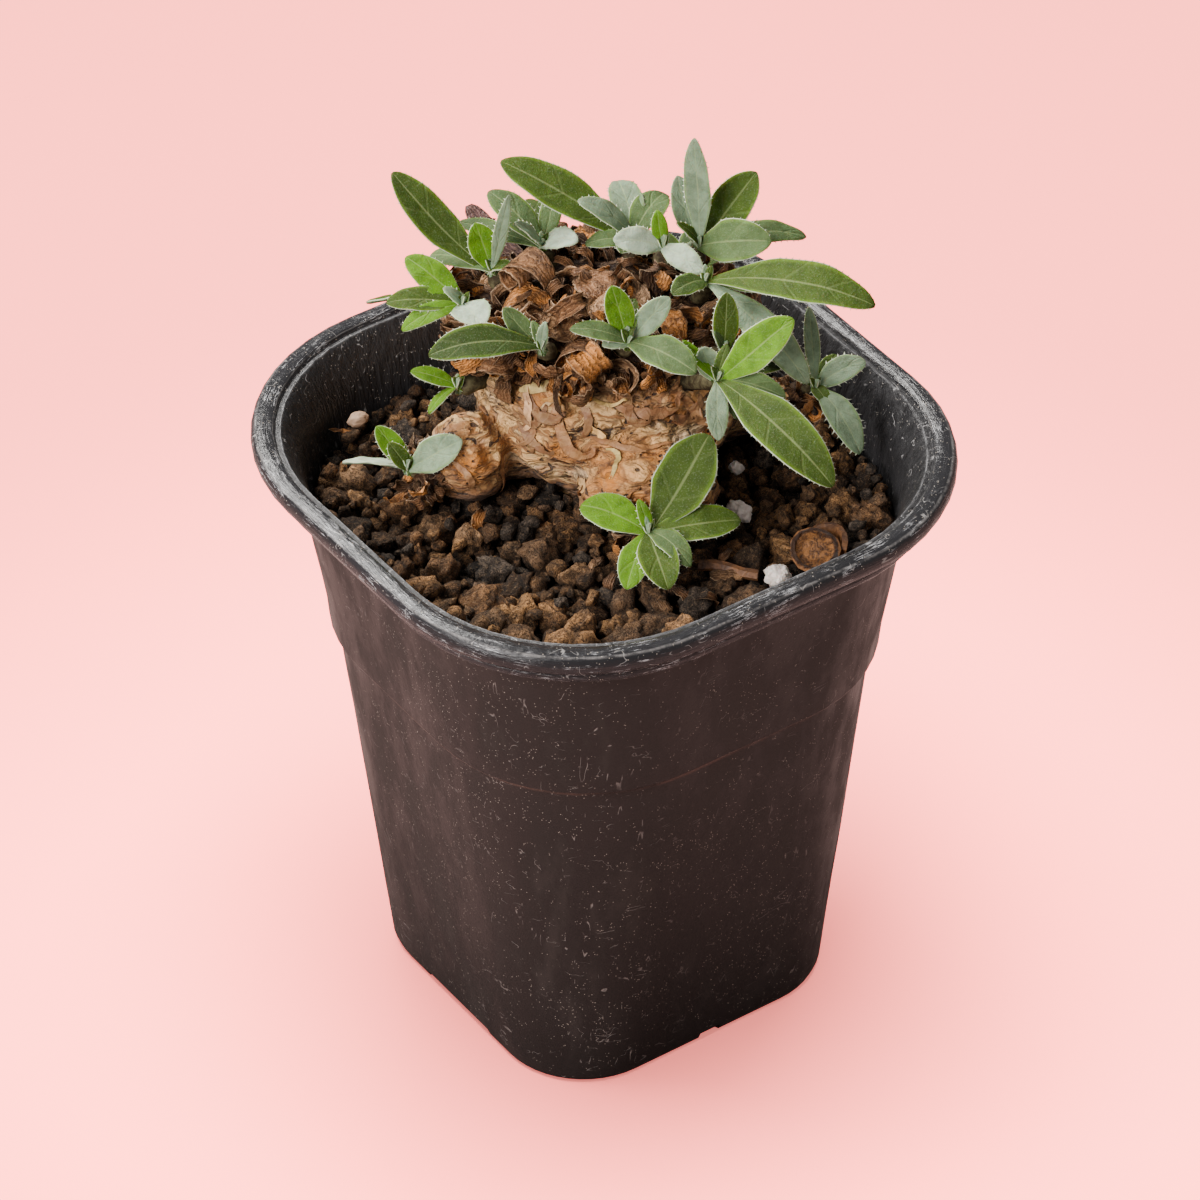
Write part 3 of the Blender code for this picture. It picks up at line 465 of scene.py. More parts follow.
# Over the rolled rim the places are measured inwards and down from its outermost and highest lines.
for inwards, below, where, rubbed in (
    (3.7, 7.1, 0, 0.1), (3.2, 7.05, 1, 0.5), (2.6, 6.8, 1, 1), (2.3, 6.3, 1, 0.5), (2.2, 5.4, 1, 0),
    (2.6, 4.6, 1, 0), (2.3, 4.15, 1, 0), (1.1, 3.85, 1, 0.3), (0.45, 3.4, 1, 0.7), (0.12, 2.5, 1, 0.1),
    (0.1, 1.5, 1, 0), (0.3, 0.75, 1, 0.4), (0.75, 0.22, 1, 1), (1.3, 0.05, 1, 0.3), (2.1, 0.02, 1, 0),
    (2.8, 0.08, 1, 0.3), (3.2, 0.3, 1, 0.9), (3.4, 0.75, 1, 0.1), (3.55, 0.95, 2, 0), (3.85, 0.85, 2, 0.3),
    (4.25, 0.8, 2, 1), (4.6, 1.2, 2, 0.4), (5.1, 2.1, 2, 0), (5.8, 3.5, 2, 0), (6.6, 5.4, 2, 0),
    (7.4, 8, 2, 0),
):
    profile.append((RIM_HALF - inwards, POT_HEIGHT - below, where, rubbed))
for z in (96, 88, 80, STEP_HEIGHT + 1, STEP_HEIGHT - 0.8, 50, 25, FLOOR + 1.5):
    profile.append((wall_half(z) - WALL, z, 2, 0))
profile.append((wall_half(FLOOR) - WALL - FLOOR_COVE, FLOOR, 2, 0))
rings = []
for half, z, where, rubbed in profile:
    rings.append(rounded_square(half, wall_corner(z) + 0.6 * (half - wall_half(z)), z))
points, faces = tube(rings)
slots = [0] + [where for half, z, where, rubbed in profile[1:] for point in rings[0]] + [2]
for k, point in enumerate(points):
    soft = min(max(point.z / 20, 0), 1) * (1 if 3 < point.z < 100 else 0.25)
    outwards = Vector((point.x, point.y, 0)).normalized()
    points[k] = (point + outwards * 0.28 * soft * noise.noise(point * 0.045)) * MM
pot = solid("pot_shell", points, faces, [outside, rim_finish, inside], slots)
marked(pot, "rubbed", [rubbed for half, z, where, rubbed in profile for point in rings[0]])
girths = [0]
for one, after in zip(profile, profile[1:]):
    girths.append(girths[-1] + math.hypot(after[0] - one[0], after[1] - one[1]))
marked(pot, "girth", [girth for girth in girths for point in rings[0]])
helpers = bpy.data.collections.new("drain_cutters")
for x, y in ((0.015, 0.015), (-0.015, 0.015), (-0.015, -0.015), (0.015, -0.015)):
    bpy.ops.mesh.primitive_cylinder_add(vertices=32, radius=0.004, depth=0.012, location=(x, y, 0))
    helpers.objects.link(bpy.context.object)
# Two opposite sides have a wide recess in the bottom edge, the other two a narrow nick.
for side in range(4):
    wide = 8.9 if side % 2 == 0 else 2
    bpy.ops.mesh.primitive_cube_add(size=1)
    turn = Matrix.Rotation(side * math.pi / 2, 4, "Z") @ Matrix.Translation((BASE_HALF * MM, 0, 0))
    bpy.context.object.data.transform(turn @ Matrix.Diagonal((0.008, wide * 0.002, 0.0034, 1)))
    helpers.objects.link(bpy.context.object)
cut = pot.modifiers.new("holes", "BOOLEAN")
cut.operation = "DIFFERENCE"
cut.operand_type = "COLLECTION"
cut.collection = helpers
applied(pot)
for helper in list(helpers.objects):
    bpy.data.objects.remove(helper)
bpy.data.collections.remove(helpers)
pot.data.set_sharp_from_angle(angle=math.radians(40))
stands_for(pot, "pot")

# The leafy heads
# Each head is a short stem with leaves round it. A leaf is a thick blade covered in white felt: green shows
# through on its face, the back is silvery, and small teeth stand along its edges, each with a white bristle.
GREEN = (0.052, 0.088, 0.009)
DEEP = (0.034, 0.06, 0.009)
GREY = (0.092, 0.145, 0.05)
SILVER = (0.23, 0.315, 0.195)
WHITE = (0.46, 0.56, 0.41)
# The bright yellow-green below is painted light: the colour of leaves lit through from behind.
BACKLIT_GREEN = (0.11, 0.25, 0.006)
# The lime below is painted light, shining through the leaves near their edges.
EDGE_GLOW = (0.26, 0.47, 0.02)
FELT_EDGE = (0.66, 0.71, 0.54)
RIB_TONE = (0.4, 0.46, 0.2)
BLADE = 0.62
STATIONS = 22
FIRST_TOOTHED = 8
STEM_SIDES = 8
TOOTH_STEP = 1.05
ACROSS = [-1, -0.94, -0.72, -0.42, -0.14, 0, 0.14, 0.42, 0.72, 0.94, 1]


def tinted(made, name, colours):
    marked(made, name, [part for colour in colours for part in (*colour, 1)], "FLOAT_COLOR", "color")


felt, given, out = group("leaf_felt", ["Colour", "Felt"], ["Colour", "Height"])
tree = felt
across = abs(attribute("across"))
fuzz = cloud(3600, 3, 0.7)
patches = cloud(420, 4, 0.65)
veins = abs(worked("SINE", attribute("along") * 0.42 - across * 1.6))
vein = band(veins, 0.2, 0.02, 0, 0.14)
# The yellow-green band near the edges is painted light shining through the leaf.
colour = coated(
    given["Colour"],
    (band(patches, 0.38, 0.66, 0, 0.5), mix(0.75, given["Colour"], (0.012, 0.026, 0.004))),
    (band(across, 0.74, 0.95) * 0.24, EDGE_GLOW),
    (band(fuzz, 0.5, 0.78) * given["Felt"], (0.42, 0.48, 0.33)),
    (band(across, 0.07, 0.02, 0, 0.6), mix(0.45, given["Colour"], RIB_TONE)),
    (vein, mix(0.35, given["Colour"], RIB_TONE)),
    (band(across, 0.945, 0.985, 0, 0.9), FELT_EDGE),
)
dress(out, Colour=colour, Height=patches + fuzz * 0.5 - vein * 1.5)

glow = {"Subsurface_Scale": 0.0012}
upper, tree, shader = finish("leaf_upper", 0.55, Specular_IOR_Level=0.12, Subsurface_Weight=0.15, **glow)
made_of = effect(felt, Colour=attribute("leaf_colour"), Felt=0.22)
dress(shader, Base_Color=made_of["Colour"], Normal=bump(made_of["Height"], 0.00032))

under_side, tree, shader = finish(
    "leaf_underside", 0.62, Specular_IOR_Level=0.14, Sheen_Weight=0.05, Subsurface_Weight=0.12, **glow
)
made_of = effect(felt, Colour=mix(0.62, attribute("leaf_colour"), SILVER), Felt=0.4)
dress(shader, Base_Color=made_of["Colour"], Normal=bump(made_of["Height"], 0.00025))

bristle, tree, shader = finish("leaf_bristle", 0.8, Sheen_Weight=0.3)
dress(shader, Base_Color=mix(cloud(900), (0.46, 0.52, 0.32), (0.75, 0.78, 0.62)))

stem_finish, tree, shader = finish("leaf_stem", 0.75, Specular_IOR_Level=0.15)
strands = cloud(700, 4, 0.6)
colour = mix(band(strands, 0.35, 0.7), (0.03, 0.02, 0.01), (0.115, 0.1, 0.05))
dress(shader, Base_Color=colour, Normal=bump(strands, 0.0004))


def leaf(tip, width, colour, arch=0.1, front=0.35, right=0, blunt=0.56, teeth=0.33):
    """A leaf by the place of its tip from the crown, its width, and how it is bowed and turned."""
    return Vector(tip), width, colour, arch, Vector((right, -front, 1)), blunt, teeth


def new_shape():
    return {"points": [], "faces": [], "slots": [], "colour": [], "across": [], "along": []}


def add_point(shape, point, colour, across, along):
    shape["points"].append(PLANT @ point)
    shape["colour"].append(colour)
    shape["across"].append(across)
    shape["along"].append(along)
    return len(shape["points"]) - 1


def add_face(shape, corners, slot):
    shape["faces"].append(corners)
    shape["slots"].append(slot)


def add_sheet(shape, path, sides, ups, halves, lifts, thick, colour, across, slots=(0, 1)):
    """A closed thin sheet along a path: an upper and a lower skin that meet at both edges and both ends."""
    rows = []
    walked = 0
    for k, centre in enumerate(path):
        if k:
            walked += (centre - path[k - 1]).length
        upper_row = []
        lower_row = []
        tone = colour[k] if isinstance(colour, list) else colour
        closing = 0.35 + 0.65 * (min(k, len(path) - 1 - k, 2) / 2)
        for share in across:
            spot = centre + sides[k] * share * halves[k] + ups[k] * lifts(k, share)
            depth = thick / 2 * math.sqrt(max(1 - share * share * 0.9, 0)) * closing
            if abs(share) == 1:
                index = add_point(shape, spot, tone, share, walked)
                upper_row.append(index)
                lower_row.append(index)
                continue
            dent = 0.1 * math.exp(-(share / 0.09) ** 2) if thick > 0.4 else 0
            upper_row.append(add_point(shape, spot + ups[k] * (depth - dent), tone, share, walked))
            lower_row.append(add_point(shape, spot - ups[k] * (depth + 1.6 * dent), tone, share, walked))
        rows.append((upper_row, lower_row))
    for (top_low, under_low), (top_high, under_high) in zip(rows, rows[1:]):
        for j in range(len(across) - 1):
            add_face(shape, [top_low[j], top_low[j + 1], top_high[j + 1], top_high[j]], slots[0])
            add_face(shape, [under_low[j], under_high[j], under_high[j + 1], under_low[j + 1]], slots[1])
    for upper_row, lower_row in (rows[0], rows[-1]):
        add_face(shape, upper_row + lower_row[-2:0:-1], slots[0])


def add_tooth(shape, root, along, outwards, up, size, colour):
    """A small tooth on a leaf's edge, which ends in a bristle that leans towards the tip."""
    base = [root + along * 0.28 * size, root + up * 0.16, root - along * 0.28 * size, root - up * 0.16]
    apex = root + outwards * size + along * size * 0.45
    corners = [add_point(shape, point - outwards * 0.08, colour, 1, 0) for point in base]
    tip = add_point(shape, apex, colour, 1, 0)
    for k in range(4):
        add_face(shape, [corners[k], corners[(k + 1) % 4], tip], 2)


def add_leaf(shape, crown, made, draw):
    """One felted leaf: a narrow foot, widest past the middle, its tip blunt, its edges a little wavy."""
    tip, width, colour, arch, lean, blunt, teeth = made
    length = tip.length
    axis = tip.normalized()
    side = axis.cross(lean).normalized()
    up = side.cross(axis)
    wave = draw.uniform(0.05, 0.16)
    phase = draw.uniform(0, 6.28)
    sway = draw.uniform(-0.03, 0.03) * length
    hook = draw.uniform(0, 0.05) * length
    path = []
    halves = []
    for k in range(STATIONS + 1):
        t = 1 - (1 - k / STATIONS) ** 1.35
        centre = (-axis).lerp(tip, t) + up * arch * length * 4 * t * (1 - t)
        centre += side * sway * math.sin(math.pi * t) - up * hook * max(t - 0.75, 0) * 4 * t
        path.append(crown + centre)
        taper = 0.55 + 0.45 * min(t / 0.45, 1)
        full = math.sin(math.pi * min(t, 0.9975) ** 1.35) ** blunt
        halves.append(max(width / 2 * full * taper, 0.5 if t < 0.5 else 0.12))
    ups = []
    for k in range(STATIONS + 1):
        run = path[min(k + 1, STATIONS)] - path[max(k - 1, 0)]
        ups.append(side.cross(run).normalized())
    fold = draw.uniform(0.12, 0.24)

    def lifts(k, share):
        ripple = wave * math.sin(k * 0.9 + phase + 2 * share) * share * share
        return fold * halves[k] * share * share + ripple * halves[k] * 0.5

    shade = draw.uniform(0.88, 1.12)
    colour = tuple(part * shade for part in colour)
    add_sheet(shape, path, [side] * (STATIONS + 1), ups, halves, lifts, BLADE, colour, ACROSS)
    for sign in (-1, 1):
        since = 0
        for k in range(FIRST_TOOTHED, STATIONS - 1):
            low = path[k] + side * sign * halves[k] + ups[k] * lifts(k, sign)
            high = path[k + 1] + side * sign * halves[k + 1] + ups[k + 1] * lifts(k + 1, sign)
            run = high - low
            while since < run.length:
                root = low + run * (since / run.length)
                size = teeth * draw.uniform(0.6, 1.25)
                add_tooth(shape, root, run.normalized(), side * sign, ups[k], size, colour)
                since += TOOTH_STEP * draw.uniform(0.8, 1.25)
            since -= run.length


def add_stem(shape, start, end, radius):
    """The short stem of a head."""
    axis = (end - start).normalized()
    across = axis.orthogonal().normalized()
    other = axis.cross(across)
    rows = []
    for share, wide in ((0, 1), (0.5, 0.95), (0.85, 1.1), (1, 0.7)):
        middle = start.lerp(end, share)
        row = []
        for k in range(STEM_SIDES):
            turn = 2 * math.pi * k / STEM_SIDES
            spot = middle + (across * math.cos(turn) + other * math.sin(turn)) * radius * wide
            row.append(add_point(shape, spot, GREY, 0.5, 0))
        rows.append(row)
    for low, high in zip(rows, rows[1:]):
        for k in range(STEM_SIDES):
            after = (k + 1) % STEM_SIDES
            add_face(shape, [low[k], low[after], high[after], high[k]], 3)
    add_face(shape, rows[0], 3)
    add_face(shape, rows[-1], 3)


def shaped(name, shape, materials):
    """The object of a shape that was put together point by point."""
    made = solid(name, shape["points"], shape["faces"], materials, shape["slots"])
    tinted(made, "leaf_colour", shape["colour"])
    for key in ("across", "along"):
        marked(made, key, shape[key])
    return made


leaf_points = []


def head(seed, name, crown, stalk, leaves):
    """One head: its crown, where its stem starts from there, its leaves, and four young ones amid them."""
    draw = random.Random(seed)
    crown = Vector(crown)
    stalk = Vector(stalk)
    shape = new_shape()
    add_stem(shape, crown + stalk, crown + stalk.normalized() * 0.3, 1.5)
    for made in leaves:
        add_leaf(shape, crown, made, draw)
    for k in range(4):
        turn = 1.6 * k + draw.uniform(0, 0.6)
        young = (0.9 * math.cos(turn), 0.9 * math.sin(turn), draw.uniform(2, 3.2))
        colour = SILVER if k % 2 else GREEN
        add_leaf(shape, crown, leaf(young, draw.uniform(1, 1.5), colour, 0.08, teeth=0.12), draw)
    piece = shaped("rosette_" + name + "_leaves", shape, [upper, under_side, bristle, stem_finish])
    stands_for(piece, "rosette_" + name)
    leaf_points.extend(shape["points"])


head(100, "front_high", (4, 0, 125), (-1, 6, -6), [
    leaf((-2.5, 2.5, 9.5), 4.6, BACKLIT_GREEN, -0.08, front=0.9, blunt=0.5),
    leaf((-9, -1, 4), 3.6, GREY, 0.12),
    leaf((-4, -2, 1.5), 2.8, SILVER),
    leaf((6.5, 3, 7), 4.2, SILVER, -0.05, front=0.9),
    leaf((10.5, -8.8, 1.1), 6.4, GREY, 0.13),
    leaf((1, 5.5, 5), 2.6, GREEN),
])
head(101, "right_shoulder", (18, -5, 121.5), (-4.5, 8, -6), [
    leaf((11.5, 1.5, 11), 6.6, BACKLIT_GREEN, 0.06, front=0.6),
    leaf((12, 6.5, -0.8), 4.2, DEEP),
    leaf((-2.5, 2.2, 5), 4, SILVER, -0.06, front=0.9),
    leaf((1.5, 3, 5), 2.2, GREEN),
    leaf((0, -8, -5.5), 3.6, SILVER, 0.15),
    leaf((3, -5, -3.5), 2, GREY, 0.12),
    leaf((10.5, -5, 0.5), 4.6, GREY, 0.12),
    leaf((17.5, -20.5, -4.5), 8.6, GREEN, 0.13),
    leaf((-5.5, 3, 5.8), 2.2, BACKLIT_GREEN, 0.02),
])
head(102, "right_branch", (34, 13.5, 105.5), (-6, 0.3, -2.2), [
    leaf((8, 2.5, 4), 4.8, SILVER, 0.08, teeth=0.55),
    leaf((7, -10, -5), 5, SILVER, 0.22, teeth=0.6),
    leaf((-3, 3, 2), 2.4, GREEN),
    leaf((2, -4.5, 0.5), 2.6, GREEN, 0.2),
    leaf((-1, 5.5, 12.5), 2.6, SILVER, -0.04, front=0.8),
    leaf((3.5, 5.5, 3), 2.6, GREEN),
])
head(103, "front_knob", (7, -19, 102), (-0.4, 6.5, -1.5), [
    leaf((9.5, 9.5, 12.5), 9.6, GREEN, -0.05),
    leaf((-10.5, 4, 3), 6.8, BACKLIT_GREEN, 0.06),
    leaf((14.5, 1.5, 1.5), 6.6, GREEN, 0.08),
    leaf((6.5, -7, -0.5), 4.2, GREY, 0.18),
    leaf((-3.5, -10.5, -2.5), 5.2, BACKLIT_GREEN),
    leaf((3, -11, -2), 6.4, GREEN, 0.12, teeth=0.45),
    leaf((-1.5, 2.5, 5), 2.2, BACKLIT_GREEN),
])
head(104, "left_knob", (-31, -1.5, 101.5), (6, 2.6, -2), [
    leaf((-10.5, 1.5, 0.5), 3, WHITE, 0.05, front=-0.4),
    leaf((-5, 3.5, 6), 3.8, BACKLIT_GREEN, -0.05, front=0.8),
    leaf((-3, 0.5, 5), 3, GREEN, front=0.8),
    leaf((8.4, -1.8, 7.2), 5.6, SILVER, 0.04, front=0.9),
    leaf((-2.5, 6, 2), 2.4, GREY),
])
head(105, "left_shoulder", (-22, 11, 124.5), (5, 2, -6.5), [
    leaf((-9, 4.5, 6.5), 5.2, BACKLIT_GREEN, 0.05, front=0.7),
    leaf((-12, -2, 2.5), 4.8, GREEN, 0.08),
    leaf((-9.5, -6.5, 0.5), 3.8, BACKLIT_GREEN),
    leaf((-15.5, 3, -1), 3.2, GREEN, 0.06, front=-0.5),
    leaf((3, -7.5, 2), 6.2, WHITE),
    leaf((-3, -0.5, 4), 2.2, SILVER),
])
head(106, "left_crown", (-17.5, 16.5, 127), (4, 0, -7), [
    leaf((-15.5, 8, 14), 6.2, GREEN, -0.04, front=0.7),
    leaf((2.8, -1.2, 15.6), 2.3, SILVER, 0.03, front=0.9),
    leaf((-2.5, 1.5, 8.5), 5, BACKLIT_GREEN, -0.06, front=0.9),
    leaf((3, -3.5, 4), 2.6, GREEN),
    leaf((-10, 6.5, -1.5), 4.2, GREY, 0.15),
])
head(107, "front_left", (-9.5, -0.5, 124.5), (2.5, 6, -5.5), [
    leaf((-17.5, -5.5, 3.5), 6.6, DEEP),
    leaf((-6, 3, 6), 3.6, GREY, -0.05, front=0.8),
    leaf((-1.5, 1.5, 4.5), 1.9, GREY),
    leaf((0.5, 0.5, 5), 1.9, SILVER),
])
head(108, "back_left", (-9.5, 21, 128.5), (2, -2, -7), [
    leaf((-8.5, 6.5, 6.5), 5.4, GREY, 0.08),
    leaf((-13.5, 6.5, 0.5), 3.6, GREY, 0.06),
    leaf((-4, -4, 8), 2.6, SILVER, 0.05, front=0.2, right=1.5),
    leaf((5.5, -3.5, 4), 4.6, WHITE, 0.12),
    leaf((-3, 12, 1), 5, GREEN, 0.12),
    leaf((2, 9, 5), 3.6, GREY, 0.08),
])
head(109, "back_middle", (5, 22, 128.8), (-1, -2, -8), [
    leaf((-21, 5.5, 12), 7.8, GREEN, 0.05),
    leaf((-8.5, -1.5, 9.5), 4.2, SILVER),
    leaf((-7.5, -3, 2), 3.6, GREY, 0.15),
    leaf((-2.5, 10, 5), 5.4, SILVER, 0.2),
    leaf((5, 7, 4.5), 5.6, GREY, 0.22),
    leaf((-2, -6, 2.5), 4.2, GREY, 0.12),
    leaf((-8.5, 11, 0), 5, GREEN, 0.12),
])
head(110, "back_centre", (9.6, 19, 129.8), (0, -2.5, -7.5), [
    leaf((-7.8, -2.2, 3.4), 4.6, WHITE, 0.12, front=0.8),
    leaf((6.2, -6.2, -0.2), 4.2, WHITE, 0.14, front=0.8),
    leaf((-0.9, 2, 6), 2.8, BACKLIT_GREEN),
])
head(111, "back_right", (15.5, 22, 127.8), (-2.5, -3, -7.5), [
    leaf((-1, 2, 19.5), 4.6, SILVER, 0.02, front=1, right=-0.5),
    leaf((9, 3.5, 12), 6.8, GREEN, -0.05, front=0.7),
    leaf((-3.5, 5.5, 10), 4.4, SILVER, -0.04),
    leaf((-3.5, -1, 5.5), 2, GREEN),
    leaf((11, -6, 5.5), 7.2, GREY, 0.12, front=0.9),
    leaf((17, 1.5, 1), 4.4, GREY, 0.12),
    leaf((7, 12, 3), 5.2, GREEN, 0.12),
    leaf((-1, 13, 0), 4.6, GREEN, 0.14),
])
head(112, "right_crown", (16.5, 12, 128), (-2, 1.5, -6.5), [
    leaf((26, -10, 3.5), 8, GREEN, 0.12),
    leaf((15.8, -15, -8.3), 6.2, SILVER, 0.14),
    leaf((12, 0.5, -1.5), 4.2, GREY),
    leaf((-5.5, -5.5, 2), 4.2, DEEP, 0.12),
])
head(113, "left_side", (-23, 6, 112), (5, 3.5, -0.5), [
    leaf((-7.5, 0.5, 3), 3.2, BACKLIT_GREEN, 0.08),
    leaf((-4.5, -6, -0.5), 2.4, BACKLIT_GREEN, right=-0.6),
])
head(114, "right_upright", (19, 1.5, 122), (-4, 3, -4), [
    leaf((0.5, 0.5, 11.5), 4.2, GREEN, 0.04, front=0.9, blunt=0.5),
    leaf((-1.5, -1, 5), 2.2, GREY),
])
head(115, "rear_low_left", (-12, 34, 112), (3, -6, -1), [
    leaf((-10, 5, 4), 4.8, GREEN),
    leaf((-3, 9, 3), 5, GREY, 0.12),
    leaf((4, 6, 6), 3.8, SILVER, 0.06),
    leaf((-3, 1, 6), 3, GREEN),
])
head(116, "rear_low_right", (13, 34, 113), (-3, -6, -1), [
    leaf((10.5, 3, 4), 5.4, GREEN),
    leaf((3, 10, 2), 5, GREY, 0.14),
    leaf((-4, 7, 4), 4, GREEN, 0.08),
    leaf((2, 1, 6.5), 3, SILVER),
])

# The old leaves
# Dead leaves of past years stay on the plant and dry to thin brown paper. They roll up into curls and ribbons
# that cover the crown in a thick shaggy collar, hang over its edge, and stand in tufts round the short stubs.
BROWN = (0.19, 0.086, 0.036)
ORANGE = (0.52, 0.195, 0.042)
TAN = (0.38, 0.205, 0.098)
DARK = (0.055, 0.024, 0.011)
PURPLE = (0.165, 0.085, 0.082)
SKIN = (0.56, 0.34, 0.19)
CROWN_CAP = Vector((-0.5, 15, 119.5))
CROWN_RADII = Vector((20.6, 12.4, 7.2))
DRY_ACROSS = [-1, -0.82, -0.3, 0.3, 0.82, 1]
DRY_THICK = 0.13
SCRAPS = 110
CURLS = 520
FRINGE = 84

dry, tree, shader = finish("old_leaf", 0.5, Specular_IOR_Level=0.3)
across = attribute("across")
tone = attribute("leaf_colour")
fibres = cloud(560, 5, 0.65, 0.8)
stripe = worked("SINE", across * 17 + fibres * 22)
net = cells(700, "DISTANCE_TO_EDGE", place((1, 1, 1.4)))
shadow = mix(0.8, tone, (0.03, 0.012, 0.005))
colour = coated(
    mix(band(fibres, 0.38, 0.58), shadow, tone),
    (band(net, 0.07, 0, 0, 0.5), (0.05, 0.02, 0.008)),
    (band(stripe, 0.1, 1, 0, 0.3), mix(0.5, tone, (0.7, 0.43, 0.23))),
    (band(stripe, -0.3, -1, 0, 0.45), shadow),
    (band(abs(across), 0.88, 0.97, 0, 0.9), mix(0.6, tone, (0.92, 0.62, 0.38))),
)
dress(shader, Base_Color=colour, Normal=bump(fibres + stripe * 0.3, 0.0006))

leaf_tree = KDTree(len(leaf_points))
for k, point in enumerate(leaf_points):
    leaf_tree.insert(point, k)
leaf_tree.balance()


def clear_of_leaves(path, room):
    """Whether a path, apart from its root, keeps so many millimetres away from the leaves."""
    return all(leaf_tree.find(PLANT @ point)[2] > room * MM for point in path[1:])


def add_strip(shape, path, sides, ups, halves, lifts, thick, colour):
    """A dry sheet, alike on both sides."""
    add_sheet(shape, path, sides, ups, halves, lifts, thick, colour, DRY_ACROSS, (0, 0))


def add_curl(shape, start, way, side, length, width, curl, twist, colour, draw, steps=11, flat=1):
    """One dead leaf: it leaves its place one way and rolls up lengthwise, more tightly towards its tip."""
    heading = Vector(way).normalized()
    side = Vector(side)
    side = (side - heading * side.dot(heading)).normalized()
    path = [Vector(start)]
    sides = [side]
    ups = [side.cross(heading)]
    for k in range(steps):
        share = math.radians(curl) / steps * (0.25 + 1.6 * (k / steps) ** 1.3)
        heading = Matrix.Rotation(share, 3, side) @ heading
        side = Matrix.Rotation(math.radians(twist) / steps, 3, heading) @ side
        path.append(path[-1] + heading * length / steps * (1.25 - 0.5 * k / steps))
        sides.append(side)
        ups.append(side.cross(heading).normalized())
    if not clear_of_leaves(path, max(1, 0.45 * width) * flat):
        return False
    calm = min(1, 2.6 / width)
    halves = []
    for k in range(steps + 1):
        full = math.sin(math.pi * min((k + 1) / (steps + 1.3), 1)) ** 0.45
        halves.append(max(width / 2 * full * draw.uniform(1 - 0.18 * calm, 1 + 0.12 * calm), 0.25))
    cup = draw.choice((-1, 1)) * draw.uniform(0.15, 1) * calm * flat
    ruffle = draw.uniform(0.1, 0.5) * calm * calm
    phase = draw.uniform(0, 6.28)

    def lifts(k, share):
        return cup * halves[k] * share * share + ruffle * halves[k] * share * math.sin(1.7 * k + phase)

    # Each leaf is painted dark at its root deep in the collar and lighter towards its tip: painted shade and
    # light.
    tones = [tuple(part * (0.15 + 1.6 * min(k / 7, 1)) for part in colour) for k in range(steps + 1)]
    add_strip(shape, path, sides, ups, halves, lifts, DRY_THICK, tones)
    return True


def add_roll(shape, middle, drift, axis, start, turns, radii, width, colour, draw, steps):
    """A dead leaf rolled up about an axis: from its outer edge inwards, or bent over in a part turn."""
    axis = Vector(axis).normalized()
    right = Vector((axis.y, -axis.x, 0)).normalized()
    above = right.cross(axis)
    path = []
    ups = []
    halves = []
    for k in range(steps + 1):
        share = k / steps
        angle = math.radians(start + 360 * turns * share)
        outwards = right * math.cos(angle) + above * math.sin(angle)
        radius = radii[0] + (radii[1] - radii[0]) * share ** 0.55
        path.append(Vector(middle) + Vector(drift) * min(share * 2, 1) + outwards * radius)
        ups.append(outwards)
        ends = min(1, 0.45 + 3 * share, 0.55 + 2 * (1 - share))
        halves.append(width / 2 * ends * draw.uniform(0.93, 1.05))
    bow = draw.uniform(-0.2, 0.2)

    def lifts(k, share):
        return bow * share * share + 0.12 * math.sin(0.9 * k + 2 * share)

    add_strip(shape, path, [axis] * (steps + 1), ups, halves, lifts, DRY_THICK, colour)


def round_mesh(subdivisions):
    """The points and faces of a ball of radius one."""
    shape = bmesh.new()
    bmesh.ops.create_icosphere(shape, subdivisions=subdivisions, radius=1)
    points = [vertex.co.copy() for vertex in shape.verts]
    faces = [[vertex.index for vertex in face.verts] for face in shape.faces]
    shape.free()
    return points, faces


def add_core(shape, core, radii, underside, colour, subdivisions):
    """The tangle inside, which the curls stand out of, painted near-black as shade."""
    points, faces = round_mesh(subdivisions)
    start = len(shape["points"])
    for point in points:
        squash = underside if point.z < 0 else 1
        rough = 1 + 0.12 * noise.noise(point * 5) + 0.08 * noise.noise(point * 13)
        reach = Vector((radii[0], radii[1], radii[2] * squash))
        add_point(shape, Vector(core) + point * reach * rough, colour, 0.3, 0)
    for face in faces:
        add_face(shape, [start + k for k in face], 0)


def dry_colour(draw):
    """Mostly brown and orange, some tan and dark, lighter or darker."""
    pick = draw.random()
    base = BROWN if pick < 0.46 else (TAN if pick < 0.62 else (ORANGE if pick < 0.88 else DARK))
    light = draw.uniform(0.45, 1.35)
    return tuple(part * light for part in base)


def aimed(turn, rise):
    """A way that points out at a turn about the upright, with a rise from -1 to 1."""
    flat = math.sqrt(1 - rise * rise)
    return Vector((flat * math.cos(turn), flat * math.sin(turn), rise))


def any_way(draw, spread):
    return Vector([draw.uniform(-spread, spread) for part in range(3)])


def add_curls(shape, core, radii, underside, count, reach, wide, draw):
    """Curls all over a rounded core, each leaving it outwards and a little to one side."""
    golden = math.pi * (3 - math.sqrt(5))
    for k in range(count):
        z = 1 - 2 * (k + 0.5) / count
        outwards = aimed(k * golden + draw.uniform(-0.1, 0.1), z)
        squash = underside if z < 0 else 1
        root = Vector(core) + outwards * Vector((radii[0], radii[1], radii[2] * squash))
        for attempt in range(6):
            way = outwards * draw.uniform(0.4, 1) + any_way(draw, 0.9)
            side = any_way(draw, 1)
            curl = draw.choice((-1, 1)) * draw.uniform(90, 560)
            size = 1 - 0.12 * attempt
            length = draw.uniform(*reach) * size
            width = draw.uniform(*wide) * size
            start = root - outwards * 0.8
            twist = draw.uniform(-140, 140)
            if add_curl(shape, start, way, side, length, width, curl, twist, dry_colour(draw), draw):
                break


draw = random.Random(41)
shape = new_shape()
add_core(shape, CROWN_CAP, CROWN_RADII, 0.45, (0.026, 0.011, 0.006), 4)
